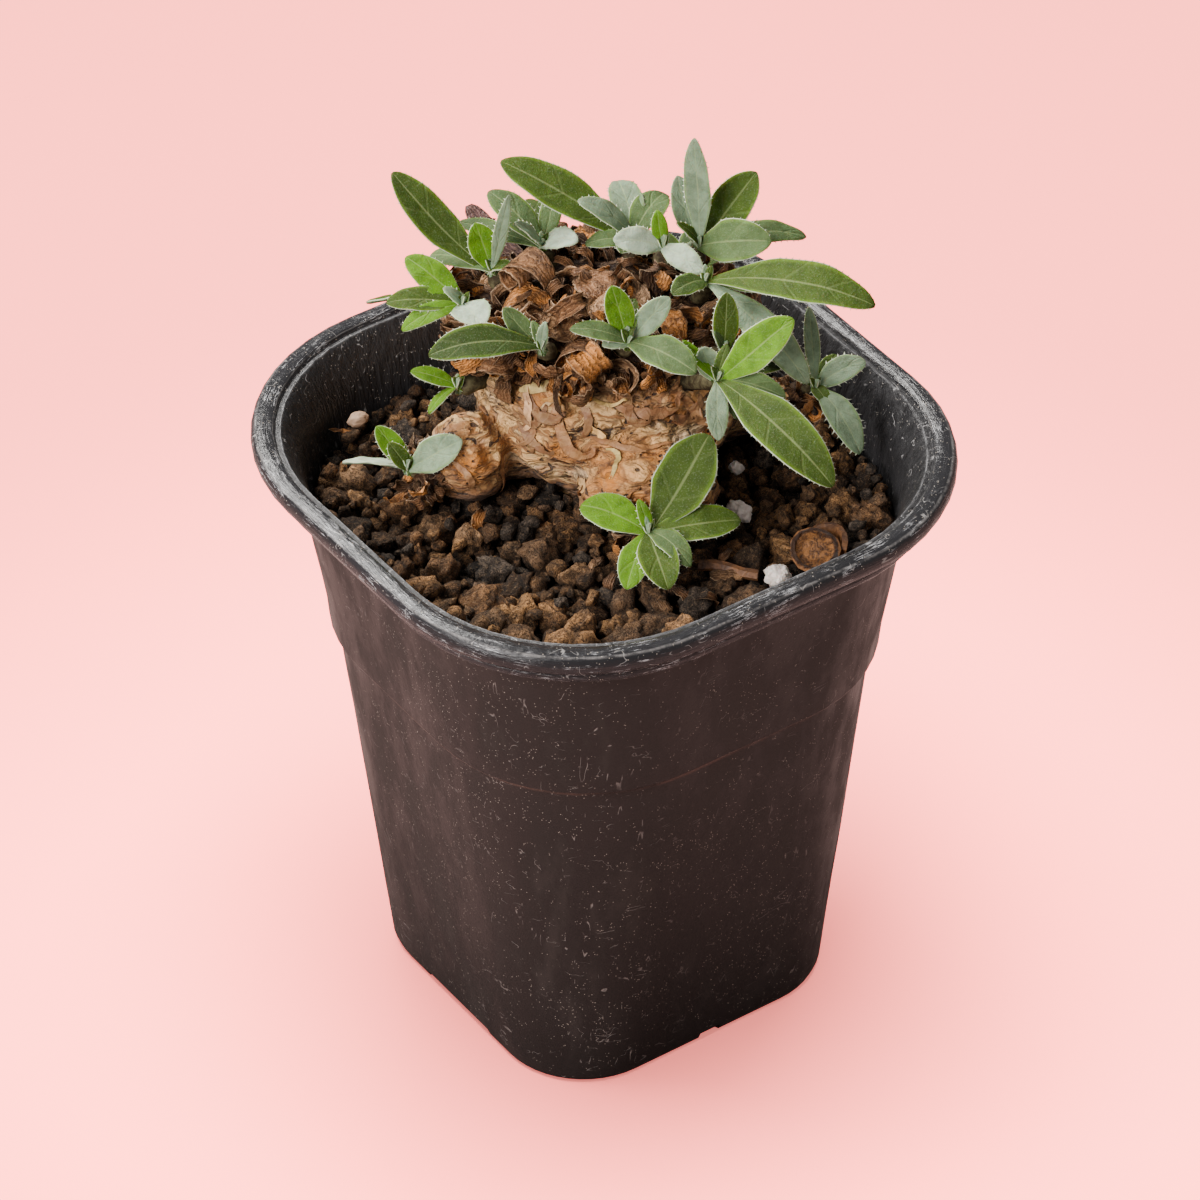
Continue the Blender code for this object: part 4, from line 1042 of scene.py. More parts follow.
# The large curls that catch the eye come first: a scroll, an arch, hanging strips, and broad pleated scraps.
for middle, drift, axis, start, turns, radii, width, tone, steps in (
    ((-11, 13.3, 129.4), (-2.2, 0, 0.3), (0.62, 0.78, 0.12), -35, 2.4, (4, 1.1), 6, (0.42, 0.19, 0.075), 52),
    ((-3.4, 0.6, 120.6), (0, 0, 0), (0.15, 0.97, -0.2), 205, -0.62, (4, 3.4), 5, (0.34, 0.165, 0.075), 20),
    ((1.5, 6.5, 123.5), (0, 0, 0), (-0.3, 0.93, 0.1), 190, -1.3, (2.6, 1.2), 4, TAN, 26),
    ((8.5, 4.5, 121), (0, 0, 0), (0.35, 0.9, 0.05), 200, -1.6, (2.2, 0.9), 4.4, ORANGE, 26),
):
    add_roll(shape, middle, drift, axis, start, turns, radii, width, tone, draw, steps)
for start, way, side, length, width, curl, twist, tone in (
    ((-13.2, 11, 129.2), (0.76, -0.5, -0.41), (0.63, 0.48, 0.59), 8.6, 3, 30, 12, ORANGE),
    ((-7.5, 6, 121.5), (0.6, -0.9, 0.6), (0.9, 0.5, 0.3), 15, 4.6, 300, 20, BROWN),
    ((-2, 5.5, 120), (0.5, -0.8, 0.1), (0.2, 0.3, 1), 13, 4.4, 260, -20, TAN),
    ((-0.5, 9, 125), (1, -0.5, 0.5), (0.2, 0.9, 0.3), 14, 5.6, 330, 10, ORANGE),
    ((9.5, 10, 124), (0.9, -0.4, 0.6), (0.3, 0.8, -0.4), 11, 7.4, 60, 45, TAN),
    ((12, 8, 122), (0.8, -0.7, 0.3), (0.4, 0.6, 0.5), 10, 6.4, -80, 30, ORANGE),
    ((3, 12, 127), (-0.6, -0.6, 0.6), (0.8, -0.4, 0.3), 11, 6, 200, 20, TAN),
    ((-3, 15, 127.5), (0.3, -0.8, 0.7), (1, 0.3, 0.2), 9, 6.6, 120, 15, BROWN),
    ((-15.5, 3, 116.5), (-0.3, -0.5, -1), (0.9, -0.4, 0), 7.5, 3.6, 190, 20, BROWN),
    ((-4.5, 10.5, 124), (0.3, -1, -0.2), (1, 0.2, 0.1), 8, 7.6, 50, 12, SKIN),
    ((2, 14.5, 126.5), (0.5, -0.9, 0.1), (0.9, 0.4, 0.2), 8, 6.6, 80, 20, SKIN),
    ((-7, 2, 120.5), (-0.3, -0.9, -0.2), (1, -0.2, 0.1), 8, 6, 60, 20, SKIN),
    ((-12, 22, 123.5), (-10, 11.5, 3), (0.7, 0.7, 0.1), 15, 4.8, 25, 10, PURPLE),
):
    add_curl(shape, start, way, side, length, width, curl, twist, tone, draw, 14, 0.45)
for k in range(SCRAPS):
    turn = draw.uniform(0, 2 * math.pi)
    outwards = aimed(turn, draw.uniform(-0.15, 0.95))
    start = CROWN_CAP + outwards * CROWN_RADII * 1.03
    way = outwards * draw.uniform(0.2, 0.7)
    way += Vector((draw.uniform(-1, 1), draw.uniform(-1, 1), draw.uniform(-0.6, 0.3)))
    side = outwards.cross(way) + any_way(draw, 0.5)
    curl = draw.choice((1, -1, -1)) * draw.uniform(150, 620)
    light = draw.uniform(0.7, 1.35)
    tone = tuple(part * light for part in draw.choice((TAN, ORANGE, BROWN, TAN, BROWN)))
    length = draw.uniform(7, 15)
    width = draw.uniform(2.6, 5.6)
    add_curl(shape, start, way, side, length, width, curl, draw.uniform(-50, 50), tone, draw, 18)
add_curls(shape, CROWN_CAP, CROWN_RADII, 0.45, CURLS, (5, 12), (1.2, 3.8), draw)
# A fringe hangs from the collar's lower edge all round.
for k in range(FRINGE):
    outwards = aimed(2 * math.pi * k / FRINGE + draw.uniform(-0.03, 0.03), 0)
    start = CROWN_CAP + outwards * Vector((20.5, 14, 0)) + Vector((0, 0, draw.uniform(-1.4, 0.8)))
    way = outwards * draw.uniform(0.2, 0.8) + Vector((0, 0, -draw.uniform(0.3, 1)))
    side = Vector((-outwards.y, outwards.x, draw.uniform(-0.6, 0.6)))
    curl = draw.choice((-1, 1)) * draw.uniform(60, 330)
    length = draw.uniform(3.2, 6)
    width = draw.uniform(1.4, 3.8)
    twist = draw.uniform(-60, 60)
    add_curl(shape, start, way, side, length, width, curl, twist, dry_colour(draw), draw)
old_crown = shaped("old_leaves_crown_curls", shape, [dry])
stands_for(old_crown, "old_leaves_crown")
TUFTS = {
    "old_leaves_front_knob": ((6, -14.4, 100.2), (5.2, 2.8, 3.6), 60),
    "old_leaves_left_knob": ((-28, -0.4, 100), (3, 5, 3.4), 60),
    "old_leaves_right_branch": ((31.2, 13.5, 103.8), (2.6, 3.6, 3.2), 44),
}
for name, (core, radii, count) in TUFTS.items():
    shape = new_shape()
    add_core(shape, core, [part * 0.8 for part in radii], 1, DARK, 3)
    add_curls(shape, core, radii, 1, count, (3.2, 7), (1.2, 3), draw)
    tuft = shaped(name + "_curls", shape, [dry])
    stands_for(tuft, name)

# The swollen stem
# The caudex is a woody barrel with a knob on its left, a lobe in front and a short branch on its right. Its
# pale bark peels in papery layers: sheet over sheet in swirls, with orange scars, pits and lifted flakes.
TRUNK = Vector((0.8, 14, 105))
FLAKES = 48
FLAKE_LEVELS = (96, 118)
LOWEST_FLAKE = 96.5
CREAM = (0.82, 0.51, 0.205)
HONEY = (0.41, 0.175, 0.05)
RUST = (0.62, 0.22, 0.042)
FOOT_BROWN = (0.085, 0.042, 0.022)
UMBER = (0.19, 0.078, 0.03)
SCARS = [
    ((-20.5, -4.2, 104.2), 4.4),
    ((-6.5, -3.3, 106.1), 3.6),
    ((-3.6, 0.1, 115.4), 2.6),
    ((4.3, 1.1, 116.2), 2.6),
    ((10.9, -0.4, 112.9), 3.2),
    ((1, -9.7, 106), 3.4),
    ((8.2, -6.9, 108.3), 3),
    ((5.7, -13.4, 103.6), 3.2),
    ((-10.8, 0.9, 113.5), 2.4),
    ((17, 1, 105), 3.6),
    ((6, 32, 106), 4.4),
    ((-14, 29, 103), 3.8),
]


def ball(centre, radii):
    shape = bmesh.new()
    bmesh.ops.create_icosphere(shape, subdivisions=4, radius=1)
    shape.transform(Matrix.Translation(centre) @ Matrix.Diagonal((*radii, 1)))
    return shape


def bar(start, end, radius1, radius2):
    """A tapered round bar between two points, in the plant's millimetres."""
    start = Vector(start)
    run = Vector(end) - start
    shape = bmesh.new()
    sizes = {"radius1": radius1, "radius2": radius2, "depth": run.length}
    bmesh.ops.create_cone(shape, cap_ends=True, segments=24, **sizes)
    aim = run.to_track_quat("Z", "Y").to_matrix().to_4x4()
    shape.transform(Matrix.Translation((start + Vector(end)) / 2) @ aim)
    return shape


def joined(name, shapes):
    """One object of several closed shapes, moved from the plant's millimetres into the frame."""
    mesh = bpy.data.meshes.new(name)
    together = bmesh.new()
    for shape in shapes:
        shape.to_mesh(mesh)
        together.from_mesh(mesh)
        shape.free()
    together.transform(PLANT)
    together.to_mesh(mesh)
    together.free()
    return linked(bpy.data.objects.new(name, mesh))


papery, given, out = group("papery_layers", ["Sheets"], ["Height", "Seam", "Tone", "Patches", "Pits"])
tree = papery
spots = place((1, 1, 2.2))
flow = cloud(85, 3, 0.5, 0, spots, "Color")
warped = new_node("VectorMath", {0: flow, 1: (0.02, 0.02, 0.02), 2: spots}, operation="MULTIPLY_ADD")
layers = cloud(62, 3, 0.5, 0.6, warped) * given["Sheets"]
within = worked("FRACT", layers)
fibre = cloud(620, 4, 0.65, 0.6, warped)
thin = worked("FRACT", cloud(135, 3, 0.55, 0.8, warped) * 12)
creased = band(cloud(110, 2, at=spots), 0.36, 0.56, 0.1, 0.85)
lifted = band(cloud(75, 2, at=spots), 0.42, 0.58, 0.12, 1)
# Dark seams along the sheets' edges: partly their own brown edge, partly painted shadow under each sheet.
sheet_edge_shadows = worked("MAXIMUM", band(within, 0.22, 0), band(within, 0.93, 1, 0, 0.7))
seam_shadows = worked("MAXIMUM", sheet_edge_shadows * lifted, band(thin, 0.2, 0) * creased)
shade = worked("SINE", worked("FLOOR", layers) * 2.4) * 0.28 + fibre
lip = band(within, 0.16, 0.26) * band(within, 0.5, 0.28)
dress(
    out,
    Seam=seam_shadows * band(fibre, 0.35, 0.55, 0.35, 1),
    Tone=shade + lip * 0.16,
    Height=within * lifted * 0.9 + (fibre * 0.5 + thin * creased * 0.45),
    Patches=cloud(70, at=warped),
    Pits=band(cells(520, at=spots), 0.26, 0.14) * band(cloud(130, 1, at=spots), 0.48, 0.56),
)

bark, tree, shader = finish("caudex_bark", 0.62, Sheen_Weight=0.05)
made_of = effect(papery, Sheets=15)
# Orange scars with a brown rim lie where twigs have broken off, in plant millimetres with their reach.
scar = 0
for spot, reach in SCARS:
    scar = worked("MAXIMUM", scar, band(away_from(PLANT @ Vector(spot)), reach * MM, reach * 0.0004))
ragged = band(cloud(260, 4, 0.6, 1, place((1, 1, 2))), 0.36, 0.56, 0.3, 1)
ragged = ragged * band(made_of["Tone"], 0.15, 0.6, 0.7, 1)
scar_rim = band(scar, 0.05, 0.35) * band(scar, 0.75, 0.4)
streaky = made_of["Patches"] + made_of["Tone"] * 0.25
zones = cloud(120, 3, 0.6, 0.8, place((1, 1, 1.6)))
height = new_node("SeparateXYZ", {0: place()}, "Z")
# The barrel is darker towards its foot, where it meets the soil.
dark_foot = band(height, 0.1035, 0.0965) * band(cloud(160), 0.3, 0.6, 0.35, 1)
# Pits and cracks are painted near-black: painted shade in the hollows.
gaps = band(cloud(230, 2, 0.5, 1.5, place((1, 1, 1.5))), 0.365, 0.335)
holes = worked("MAXIMUM", made_of["Pits"], gaps)
colour = coated(
    mix(band(made_of["Tone"], 0.27, 0.77), HONEY, CREAM),
    (band(streaky, 0.6, 0.86, 0, 0.75), RUST),
    (band(made_of["Patches"], 0.45, 0.34, 0, 0.55), (0.88, 0.65, 0.4)),
    (band(zones, 0.49, 0.36, 0, 0.7), (0.24, 0.098, 0.032)),
    (scar_rim * 0.7, (0.16, 0.065, 0.024)),
    (scar * ragged, (0.62, 0.215, 0.028)),
    # The seams are painted dark: brown edges and painted shadow under the sheets.
    (made_of["Seam"] * 0.95, (0.075, 0.03, 0.011)),
    # Painted shade: the barrel darkens upwards under the overhanging collar of old leaves.
    (band(height, 0.109, 0.118, 0, 0.55), (0.17, 0.08, 0.038)),
    (dark_foot, FOOT_BROWN),
    (holes * 0.9, (0.03, 0.014, 0.007)),
)
dress(shader, Base_Color=colour, Normal=bump(made_of["Height"] - holes * 0.9, 0.0013))

paper, tree, shader = finish("caudex_flake", 0.58, Sheen_Weight=0.05)
made_of = effect(papery, Sheets=15)
fibre = cloud(520, 4, 0.65, 0.8)
tone = mix(0.2, attribute("leaf_colour"), mix(band(made_of["Tone"], 0.25, 0.72), HONEY, CREAM))
colour = mix(band(fibre, 0.3, 0.65), mix(0.55, tone, (0.12, 0.05, 0.018)), tone)
edge = band(abs(attribute("across")), 0.84, 0.98, 0, 0.75)
dress(shader, Base_Color=mix(edge, colour, (0.24, 0.105, 0.042)), Normal=bump(fibre, 0.0004))

lumps = [
    ball(TRUNK, (21, 18.5, 14)),
    ball(TRUNK + Vector((0, 0, 5)), (21.2, 17.4, 9.5)),
    ball((-21.5, 1.5, 101.5), (6.4, 6.6, 7)),
    ball((7.5, -6, 101), (11, 8.5, 7.4)),
    ball((6.5, -11.5, 99), (5.5, 3.5, 4.5)),
    bar((-12, 8, 100), (-27, 0.5, 99.5), 5.6, 4),
    bar((16, 15, 100), (31, 13.6, 103), 5.5, 2.4),
    bar((0.8, 14, 74), (2, 14, 100), 8, 16),
]
caudex = joined("caudex_barrel", lumps)
skin = caudex.modifiers.new("skin", "REMESH")
skin.mode = "VOXEL"
skin.voxel_size = 0.00062
soften = caudex.modifiers.new("soften", "SMOOTH")
soften.iterations = 10
applied(caudex)
unturned = PLANT.inverted()
# The folds of the bark come from seeded noise, so that each run gives the same ones.
noise.seed_set(4)
for vertex, outwards in [(vertex, vertex.normal.copy()) for vertex in caudex.data.vertices]:
    spot = unturned @ vertex.co
    drift = spot + noise.noise_vector(spot * 0.11) * 2.5
    folds = noise.ridged_multi_fractal(drift * Vector((0.12, 0.12, 0.24)), 1, 2, 3, 1, 2)
    above = min(max((spot.z - 92) / 5, 0), 1)
    rise = 0.85 * (folds - 1) + 0.5 * noise.noise(spot * 0.3)
    rise = rise + 0.25 * noise.noise(spot * 0.9) + 0.1 * noise.noise(spot * 2)
    vertex.co += outwards * max(min(rise, 0.9), -0.9) * above * MM
caudex.data.polygons.foreach_set("use_smooth", [True] * len(caudex.data.polygons))
caudex.data.materials.clear()
caudex.data.materials.append(bark)


def surface(made, turned, scale=1):
    """The surface of a piece, to find the nearest place on it."""
    points = [turned @ vertex.co * scale for vertex in made.data.vertices]
    return BVHTree.FromPolygons(points, [face.vertices[:] for face in made.data.polygons])


stem_surface = surface(caudex, unturned)


def add_flake(shape, spot, way, length, width, lift, colour, draw, steps, hook):
    """A scrap of bark on the stem, held down at its root, lifting and hooking towards its end."""
    path = []
    ups = []
    sides = []
    spot = Vector(spot)
    heading = Vector(way).normalized()
    for k in range(steps + 1):
        touch, outwards, index, distance = stem_surface.find_nearest(spot)
        heading = (heading - outwards * heading.dot(outwards)).normalized()
        path.append(touch + outwards * (0.02 + lift * (k / steps) ** 2))
        ups.append(outwards)
        sides.append(heading.cross(outwards).normalized())
        bend = draw.uniform(-0.12, 0.12) + 2 * hook * k / steps ** 2
        heading = Matrix.Rotation(bend, 3, outwards) @ heading
        spot = touch + heading * length / steps
    if not clear_of_leaves(path, 0.8):
        return
    halves = []
    for k in range(steps + 1):
        full = math.sin(math.pi * min((k + 0.9) / (steps + 1.2), 1)) ** 0.6
        halves.append(max(width / 2 * full * draw.uniform(0.8, 1.15), 0.25))
    cup = draw.uniform(0.02, 0.3)
    ruffle = draw.uniform(0.02, 0.14)
    phase = draw.uniform(0, 6.28)

    def lifts(k, share):
        return cup * halves[k] * share * share + ruffle * halves[k] * math.sin(1.2 * k + phase + share)

    add_strip(shape, path, sides, ups, halves, lifts, 0.12, colour)


draw = random.Random(7)
shape = new_shape()
for k in range(FLAKES):
    way = Vector((draw.gauss(0, 1), draw.gauss(-0.35, 1), draw.gauss(0, 0.7))).normalized()
    start = TRUNK + way * 60
    start.z = draw.uniform(*FLAKE_LEVELS)
    centre = Vector((start.x * 0.06, TRUNK.y + (start.y - TRUNK.y) * 0.06, start.z))
    touch, outwards, index, distance = stem_surface.ray_cast(start, (centre - start).normalized())
    if touch is None or touch.z < LOWEST_FLAKE:
        continue
    run = Vector((draw.uniform(-1, 1), draw.uniform(-1, 1), draw.uniform(-0.5, 0.35)))
    pick = draw.random()
    base = CREAM if pick < 0.36 else (HONEY if pick < 0.58 else (RUST if pick < 0.7 else UMBER))
    colour = tuple(part * draw.uniform(0.8, 1.1) for part in base)
    length = draw.uniform(4, 11)
    width = draw.uniform(0.8, 2.4)
    lift = draw.uniform(0.2, 1.3) ** 2
    add_flake(shape, touch, run, length, width, lift, colour, draw, 12, draw.uniform(-2, 2))
# Long dark shreds of old skin lie over the barrel and the knobs.
for start, way, length, width, lift, hook, colour in (
    ((-8.2, -0.5, 116.5), (-0.05, -0.3, -1), 15, 2.3, 0.9, 3.6, (0.34, 0.145, 0.052)),
    ((-9.2, -1, 114), (-0.3, -0.3, -1), 8, 1.4, 0.6, -2, (0.16, 0.066, 0.028)),
    ((1.5, -1, 114.5), (0.8, 0, -0.7), 14, 1.9, 1, 2, (0.26, 0.11, 0.044)),
    ((13, 1, 114), (0.2, 0, -1), 10, 2, 0.9, -1.2, (0.3, 0.13, 0.05)),
    ((-3, -3.5, 109), (1, 0.1, 0.1), 11, 1.2, 0.4, -0.5, (0.34, 0.15, 0.06)),
    ((3, -4, 106.5), (1, 0.1, 0.2), 9, 1.6, 0.3, 0.6, (0.48, 0.2, 0.065)),
    ((-16, 0, 105), (0.2, -0.2, -1), 9, 1.2, 0.5, 0.9, (0.24, 0.1, 0.042)),
    ((-2, -4, 101), (1, -0.2, -0.2), 9, 2, 0.8, 0.4, (0.2, 0.09, 0.04)),
    ((8, -14, 103), (-1, 0.2, -0.3), 8, 1.4, 0.5, 1.4, (0.3, 0.13, 0.052)),
    ((14, -8, 106), (-1, -0.1, 0.1), 9, 1.6, 0.4, 1.2, (0.42, 0.18, 0.065)),
    ((10.5, -2, 113.5), (0.5, 0.2, -1), 8, 1.2, 0.7, 2.6, (0.26, 0.11, 0.045)),
    ((-13.5, 1, 112), (0.5, -0.3, -0.8), 9, 1.3, 0.6, -2.2, (0.28, 0.12, 0.05)),
    ((-24, -3.5, 104.5), (0.9, -0.3, -0.3), 8, 1.2, 0.4, -2, (0.34, 0.16, 0.065)),
    ((-20, -3.5, 99), (-0.6, -0.3, 0.8), 8, 1.2, 0.4, 2, (0.3, 0.14, 0.06)),
    ((-12.5, 1, 115.5), (0.2, -0.3, -1), 10, 1.8, 0.9, 2.4, (0.17, 0.07, 0.028)),
    ((-4.5, -1, 115.5), (0.6, -0.2, -0.8), 9, 1.6, 0.9, -2.6, (0.2, 0.082, 0.032)),
    ((4.5, -0.5, 115.5), (-0.4, -0.2, -0.9), 8, 1.8, 1, 3, (0.16, 0.066, 0.027)),
    ((8.5, 0, 115), (0.7, -0.1, -0.6), 10, 1.7, 0.9, 2.2, (0.19, 0.078, 0.03)),
    ((15.5, 3, 113), (-0.5, -0.2, -0.9), 9, 2, 0.9, -1.8, (0.17, 0.07, 0.028)),
    ((-15, 0.5, 108.5), (0.9, -0.2, -0.5), 9, 1.5, 0.8, 2, (0.18, 0.074, 0.03)),
):
    add_flake(shape, start, way, length, width, lift, colour, draw, 16, hook)
flakes = shaped("caudex_flakes", shape, [paper])
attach(flakes, "root")
stands_for(caudex, "caudex")

# The soil
# Granular growing medium fills the pot from wall to wall: hard angular grains of fired clay and pumice, two
# to nine millimetres across, larger towards the front. They lie on a bed of the finer stuff, painted
# near-black as shade in the gaps among them.
SOIL_LEVEL = 95
SOIL_ROOM = 0.42
HIGHEST_GRAIN = 97
BED_EDGE = 92
BED_TOP = 92.2
BED_RINGS = 26
# So many tries place large, then small, then tiny grains; the last ones place the loose grains on top.
LARGE_TRIES = 600
SMALL_TRIES = 6500
TINY_TRIES = 19600
ALL_TRIES = 20000
NEAR_CELL = 8
GRAIN_COLOURS = [
    (0.165, 0.081, 0.033),
    (0.235, 0.119, 0.048),
    (0.105, 0.056, 0.026),
    (0.07, 0.052, 0.038),
    (0.275, 0.14, 0.054),
    (0.19, 0.104, 0.048),
]
TAN_GRAIN = (0.32, 0.19, 0.11)
GRAIN_SHADOW = (0.012, 0.007, 0.004)

grit, tree, shader = finish("soil_grit", 0.9, Specular_IOR_Level=0.3)
lumpy = cloud(520, 6, 0.75, 0.8)
crust = cloud(2100, 4, 0.7, 0.3)
folds = abs(cloud(900, 4, 0.62, 1.6) - 0.5)
pores = band(cells(1700), 0.32, 0.12)
tone = attribute("grain_colour")
# The dark folds and pores are painted shade in the grains' creases and holes.
colour = coated(
    mix(band(lumpy, 0.36, 0.54), mix(0.72, tone, GRAIN_SHADOW), tone),
    (band(crust, 0.5, 0.68, 0, 0.7), mix(0.5, tone, (0.5, 0.33, 0.19))),
    (pores * 0.6, GRAIN_SHADOW),
    (band(folds, 0.042, 0.004, 0, 0.9), (0.008, 0.005, 0.003)),
)
dress(shader, Base_Color=colour, Normal=bump(lumpy + crust * 0.35 + folds * 2.5 - pores * 0.3, 0.0013))


def soil_ring(z, room):
    half = wall_half(z) - WALL - SOIL_ROOM - room
    return rounded_square(half, wall_corner(z) - 0.6 * WALL - SOIL_ROOM - room, z)


rings = [soil_ring(FLOOR + 0.3, FLOOR_COVE)] + [soil_ring(z, 0) for z in (FLOOR + 1.8, STEP_HEIGHT - 0.8)]
rings += [soil_ring(z, 0) for z in (STEP_HEIGHT + 1, 84, 91.5)]
edge = soil_ring(BED_EDGE, 0)
for step in range(1, BED_RINGS):
    share = 1 - step / BED_RINGS
    ring = [Vector((point.x * share, point.y * share, BED_TOP)) for point in edge]
    rings.append([point + Vector((0, 0, 0.9 * noise.noise(point * 0.5))) for point in ring])
bed_points, bed_faces = tube(rings)


def stone_shape(subdivisions, seed):
    """A broken, rough-faced lump as large as a ball of radius one, and how far each point stands out."""
    ball_points, faces = round_mesh(subdivisions)
    draw = random.Random(seed)
    breaks = []
    for k in range(9):
        way = Vector([draw.gauss(0, 1) for part in range(3)]).normalized()
        breaks.append((way, draw.uniform(0.45, 0.8)))
    shift = Vector((seed * 3.1, seed * 1.7, 0))
    points = []
    reliefs = []
    for point in ball_points:
        spot = point * 1.12
        for way, depth in breaks:
            over = spot.dot(way) - depth
            if over > 0:
                spot -= way * over * 0.6
        rough = 0.3 * noise.noise(spot * 2 + shift)
        fine = 0.28 * noise.noise(spot * 4.7 + shift) + 0.18 * noise.noise(spot * 9 + shift)
        points.append(spot * (1.05 + rough + fine))
        reliefs.append(min(max(0.85 + 4 * fine, 0.2), 1.8))
    return points, faces, reliefs


crumb_stones = [stone_shape(1, seed) for seed in range(40, 52)]
small_stones = [stone_shape(2, seed) for seed in range(12)]
large_stones = [stone_shape(3, seed) for seed in range(20, 32)]
bits_near = []
BITS = ("perlite_small", "perlite_middle", "perlite_front", "tan_pebble", "bark_disc", "bark_arc", "twig")
for node in BITS:
    piece = frame["nodes"][node]
    bits_near.append(surface(piece, piece.matrix_world, 1000))
draw = random.Random(17)
viewer_at = math.radians(PLANT_TURN)
towards_viewer = Vector((-math.sin(viewer_at), -math.cos(viewer_at)))
half = wall_half(SOIL_LEVEL) - WALL - SOIL_ROOM
corner = wall_corner(SOIL_LEVEL) - 0.6 * WALL - SOIL_ROOM
grains = []
near = {}
# The large ones settle first and stand clear, smaller ones fill the gaps, and a few lie loose on top.
for attempt in range(ALL_TRIES):
    x = draw.uniform(-half, half)
    y = draw.uniform(-half, half)
    nearness = Vector((x, y)).dot(towards_viewer) / 45
    loose = attempt >= TINY_TRIES
    if attempt < LARGE_TRIES:
        radius = draw.uniform(1.8, 3.1) + 1.1 * max(nearness + draw.uniform(-0.3, 0.3), -0.4)
    elif attempt < SMALL_TRIES:
        radius = draw.uniform(1.2, 2.2) + 0.2 * nearness
    elif loose:
        radius = draw.uniform(0.8, 1.8)
    else:
        radius = draw.uniform(0.65, 1.15)
    room = radius * 0.88
    beyond_x = max(abs(x) + room - (half - corner), 0)
    beyond_y = max(abs(y) + room - (half - corner), 0)
    if max(abs(x), abs(y)) + room > half or math.hypot(beyond_x, beyond_y) > corner:
        continue
    z = 92.9 + 0.36 * radius + draw.uniform(-0.4, 0.4) + 0.8 * noise.noise(Vector((x, y, 0)) * 0.09)
    blocked = False
    cell = (int(x // NEAR_CELL), int(y // NEAR_CELL))
    for dx in (-1, 0, 1):
        for dy in (-1, 0, 1):
            for other_x, other_y, other_z, other in near.get((cell[0] + dx, cell[1] + dy), ()):
                reach = (radius + other) * 0.77
                apart = (x - other_x) ** 2 + (y - other_y) ** 2
                if apart < reach * reach:
                    blocked = True
                    z = max(z, other_z + math.sqrt(reach * reach - apart)) if loose else z
    if (blocked and not loose) or (loose and z + 0.5 * radius > HIGHEST_GRAIN):
        continue
    if any(bit.find_nearest(Vector((x, y, z)), radius * 0.85)[0] for bit in bits_near):
        continue
    spot = unturned @ (Vector((x, y, z)) * MM)
    touch, way, index, distance = stem_surface.find_nearest(spot)
    if distance < radius * 0.7 or (spot - touch).dot(way) < 0:
        continue
    grains.append((x, y, z, radius))
    near.setdefault(cell, []).append((x, y, z, radius))

points = [point * MM for point in bed_points]
faces = bed_faces
# The bed is painted near-black: painted shade in the gaps between the grains.
colours = [(0.018, 0.011, 0.007)] * len(points)
for x, y, z, radius in grains:
    kinds = large_stones if radius > 1.9 else (small_stones if radius > 0.8 else crumb_stones)
    stone_points, stone_faces, reliefs = draw.choice(kinds)
    angle = draw.uniform(0, 6.28)
    turn = Matrix.Rotation(angle, 3, Vector([draw.gauss(0, 1) for part in range(3)]))
    stretch = Matrix.Diagonal((draw.uniform(0.85, 1.25), draw.uniform(0.85, 1.15), draw.uniform(0.75, 1)))
    turned = turn @ stretch * radius * MM
    start = len(points)
    middle = Vector((x, y, z)) * MM
    points += [middle + turned @ point for point in stone_points]
    faces += [[start + k for k in face] for face in stone_faces]
    tone = TAN_GRAIN if draw.random() < 0.02 else draw.choice(GRAIN_COLOURS)
    light = draw.uniform(0.7, 2.15)
    # Painted shade and light: each grain is darker low down among the others and in its hollows, and lighter
    # where it stands out.
    for point, relief in zip(points[start:], reliefs):
        depth = min(max((point.z * 1000 - 92.8) / 3.2, 0), 1.25)
        colours.append(tuple(part * light * relief * (0.12 + 0.88 * depth) for part in tone))
soil = solid("soil_medium", points, faces, [grit])
tinted(soil, "grain_colour", colours)
stands_for(soil, "soil")

# The loose bits on the soil
# Three crumbs of white perlite, a tan pebble, a round flake of bark with a sliver of bark standing behind it,
# and a crooked brown twig lie on the grains, each pressed a little way in between them.
perlite, tree, shader = finish("perlite", 0.9, Subsurface_Weight=0.1, Subsurface_Scale=0.001)
crumb = cloud(700, 5, 0.7)
colour = mix(crumb, (0.66, 0.54, 0.46), (0.95, 0.88, 0.82))
dress(shader, Base_Color=colour, Normal=bump(crumb + cells(1500) * 0.5, 0.0006))

stone, tree, shader = finish("tan_pebble", 0.75)
veined = cloud(500, 4, 0.6, 1, place((1, 1, 3)))
dress(shader, Base_Color=mix(veined, (0.3, 0.17, 0.09), (0.66, 0.46, 0.32)), Normal=bump(veined, 0.0004))

flake, tree, shader = finish("bark_flake", 0.5)
rings_of_bark = cloud(520, 5, 0.65, 0.6)
colour = mix(band(rings_of_bark, 0.3, 0.7), (0.045, 0.018, 0.008), (0.23, 0.098, 0.034))
dress(shader, Base_Color=colour, Normal=bump(rings_of_bark, 0.0006))


def crumb_of(name, node, material, rough, seed):
    """A rough crumb that fills the node's box."""
    low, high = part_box(node)
    shift = Vector((seed, 0, 0))
    ball_points, faces = round_mesh(4)
    points = []
    for point in ball_points:
        swell = 1 + rough * noise.noise(point * 1.8 + shift)
        points.append(point * (swell + rough * 0.5 * noise.noise(point * 4.5 + shift)))
    middle = (Vector(low) + Vector(high)) / 2
    reach = (Vector(high) - Vector(low)) / 2
    made = solid(name, [middle + point * reach for point in points], faces, [material])
    stands_for(made, node)


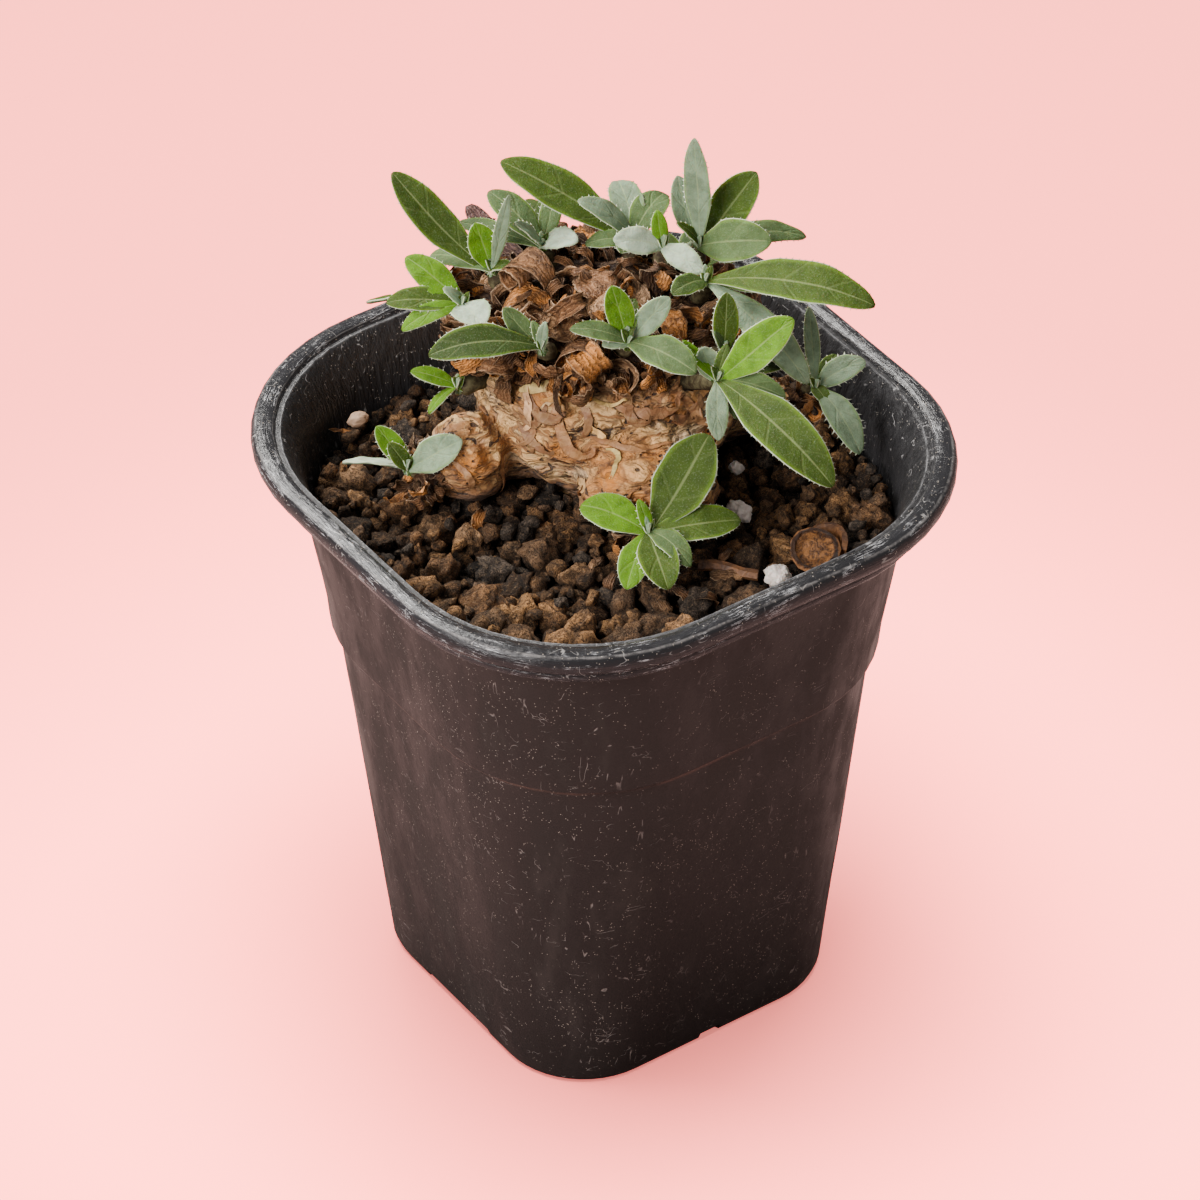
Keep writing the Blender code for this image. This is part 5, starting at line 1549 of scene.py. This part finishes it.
crumb_of("perlite_crumb_small", "perlite_small", perlite, 0.35, 1)
crumb_of("perlite_crumb_middle", "perlite_middle", perlite, 0.35, 5)
crumb_of("perlite_crumb_front", "perlite_front", perlite, 0.3, 9)
crumb_of("pebble_on_soil", "tan_pebble", stone, 0.15, 13)
shape = new_shape()
draw = random.Random(3)
for start, way, length, width, curl, tone in (
    ((16.6, -22.4, 96.9), (1, 0.1, 0), 6, 2.6, 40, TAN),
    ((13.6, -28.6, 96.6), (1, 0.3, 0.1), 6, 1.6, 150, BROWN),
    ((11, -26, 97), (0.7, -0.6, 0.2), 5, 2, 230, BROWN),
    ((8.6, -28.8, 97), (0.5, -0.8, 0.2), 4.5, 1.8, 260, TAN),
    ((20, -16.5, 97), (-0.6, -0.8, 0.3), 5, 1.6, 200, BROWN),
    ((-44.2, 15.6, 96.6), (1, -0.3, 0.1), 3.6, 0.8, 20, ORANGE),
    ((-19, -6.5, 97), (-0.3, -1, 0.1), 5, 2.4, 170, ORANGE),
    ((2, -22, 97.2), (-0.6, -0.8, 0.3), 6, 2.2, 240, BROWN),
    ((0, -18.5, 97.2), (-0.9, -0.4, 0.3), 5, 2, 260, TAN),
):
    side = (-way[1], way[0], 0.1)
    add_curl(shape, start, way, side, length, width, curl, 30, tone, draw, 9)
chips = shaped("wood_chips", shape, [dry])
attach(chips, "root")
# The round flake is a shallow cup: dark and ridged round its rim, golden within.
disc, tree, shader = finish("bark_cup", 0.45)
low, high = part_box("bark_disc")
grain = cloud(900, 5, 0.7, 1.2)
out_from = away_from((Vector(low) + Vector(high)) / 2) / ((high[0] - low[0]) / 2) + grain * 0.3
colour = coated(
    mix(band(grain, 0.38, 0.62), (0.04, 0.016, 0.007), (0.36, 0.15, 0.042)),
    (band(out_from, 0.9, 1), (0.035, 0.014, 0.006)),
    (band(out_from, 1.1, 1.16), (0.34, 0.145, 0.05)),
)
dress(shader, Base_Color=colour, Normal=bump(grain - band(out_from, 0.9, 0.6) * 0.8, 0.0008))
for node, look in (("bark_disc", disc), ("bark_arc", flake), ("twig", flake)):
    piece = frame["nodes"][node]
    for slot in piece.material_slots:
        slot.material = look

low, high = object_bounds()
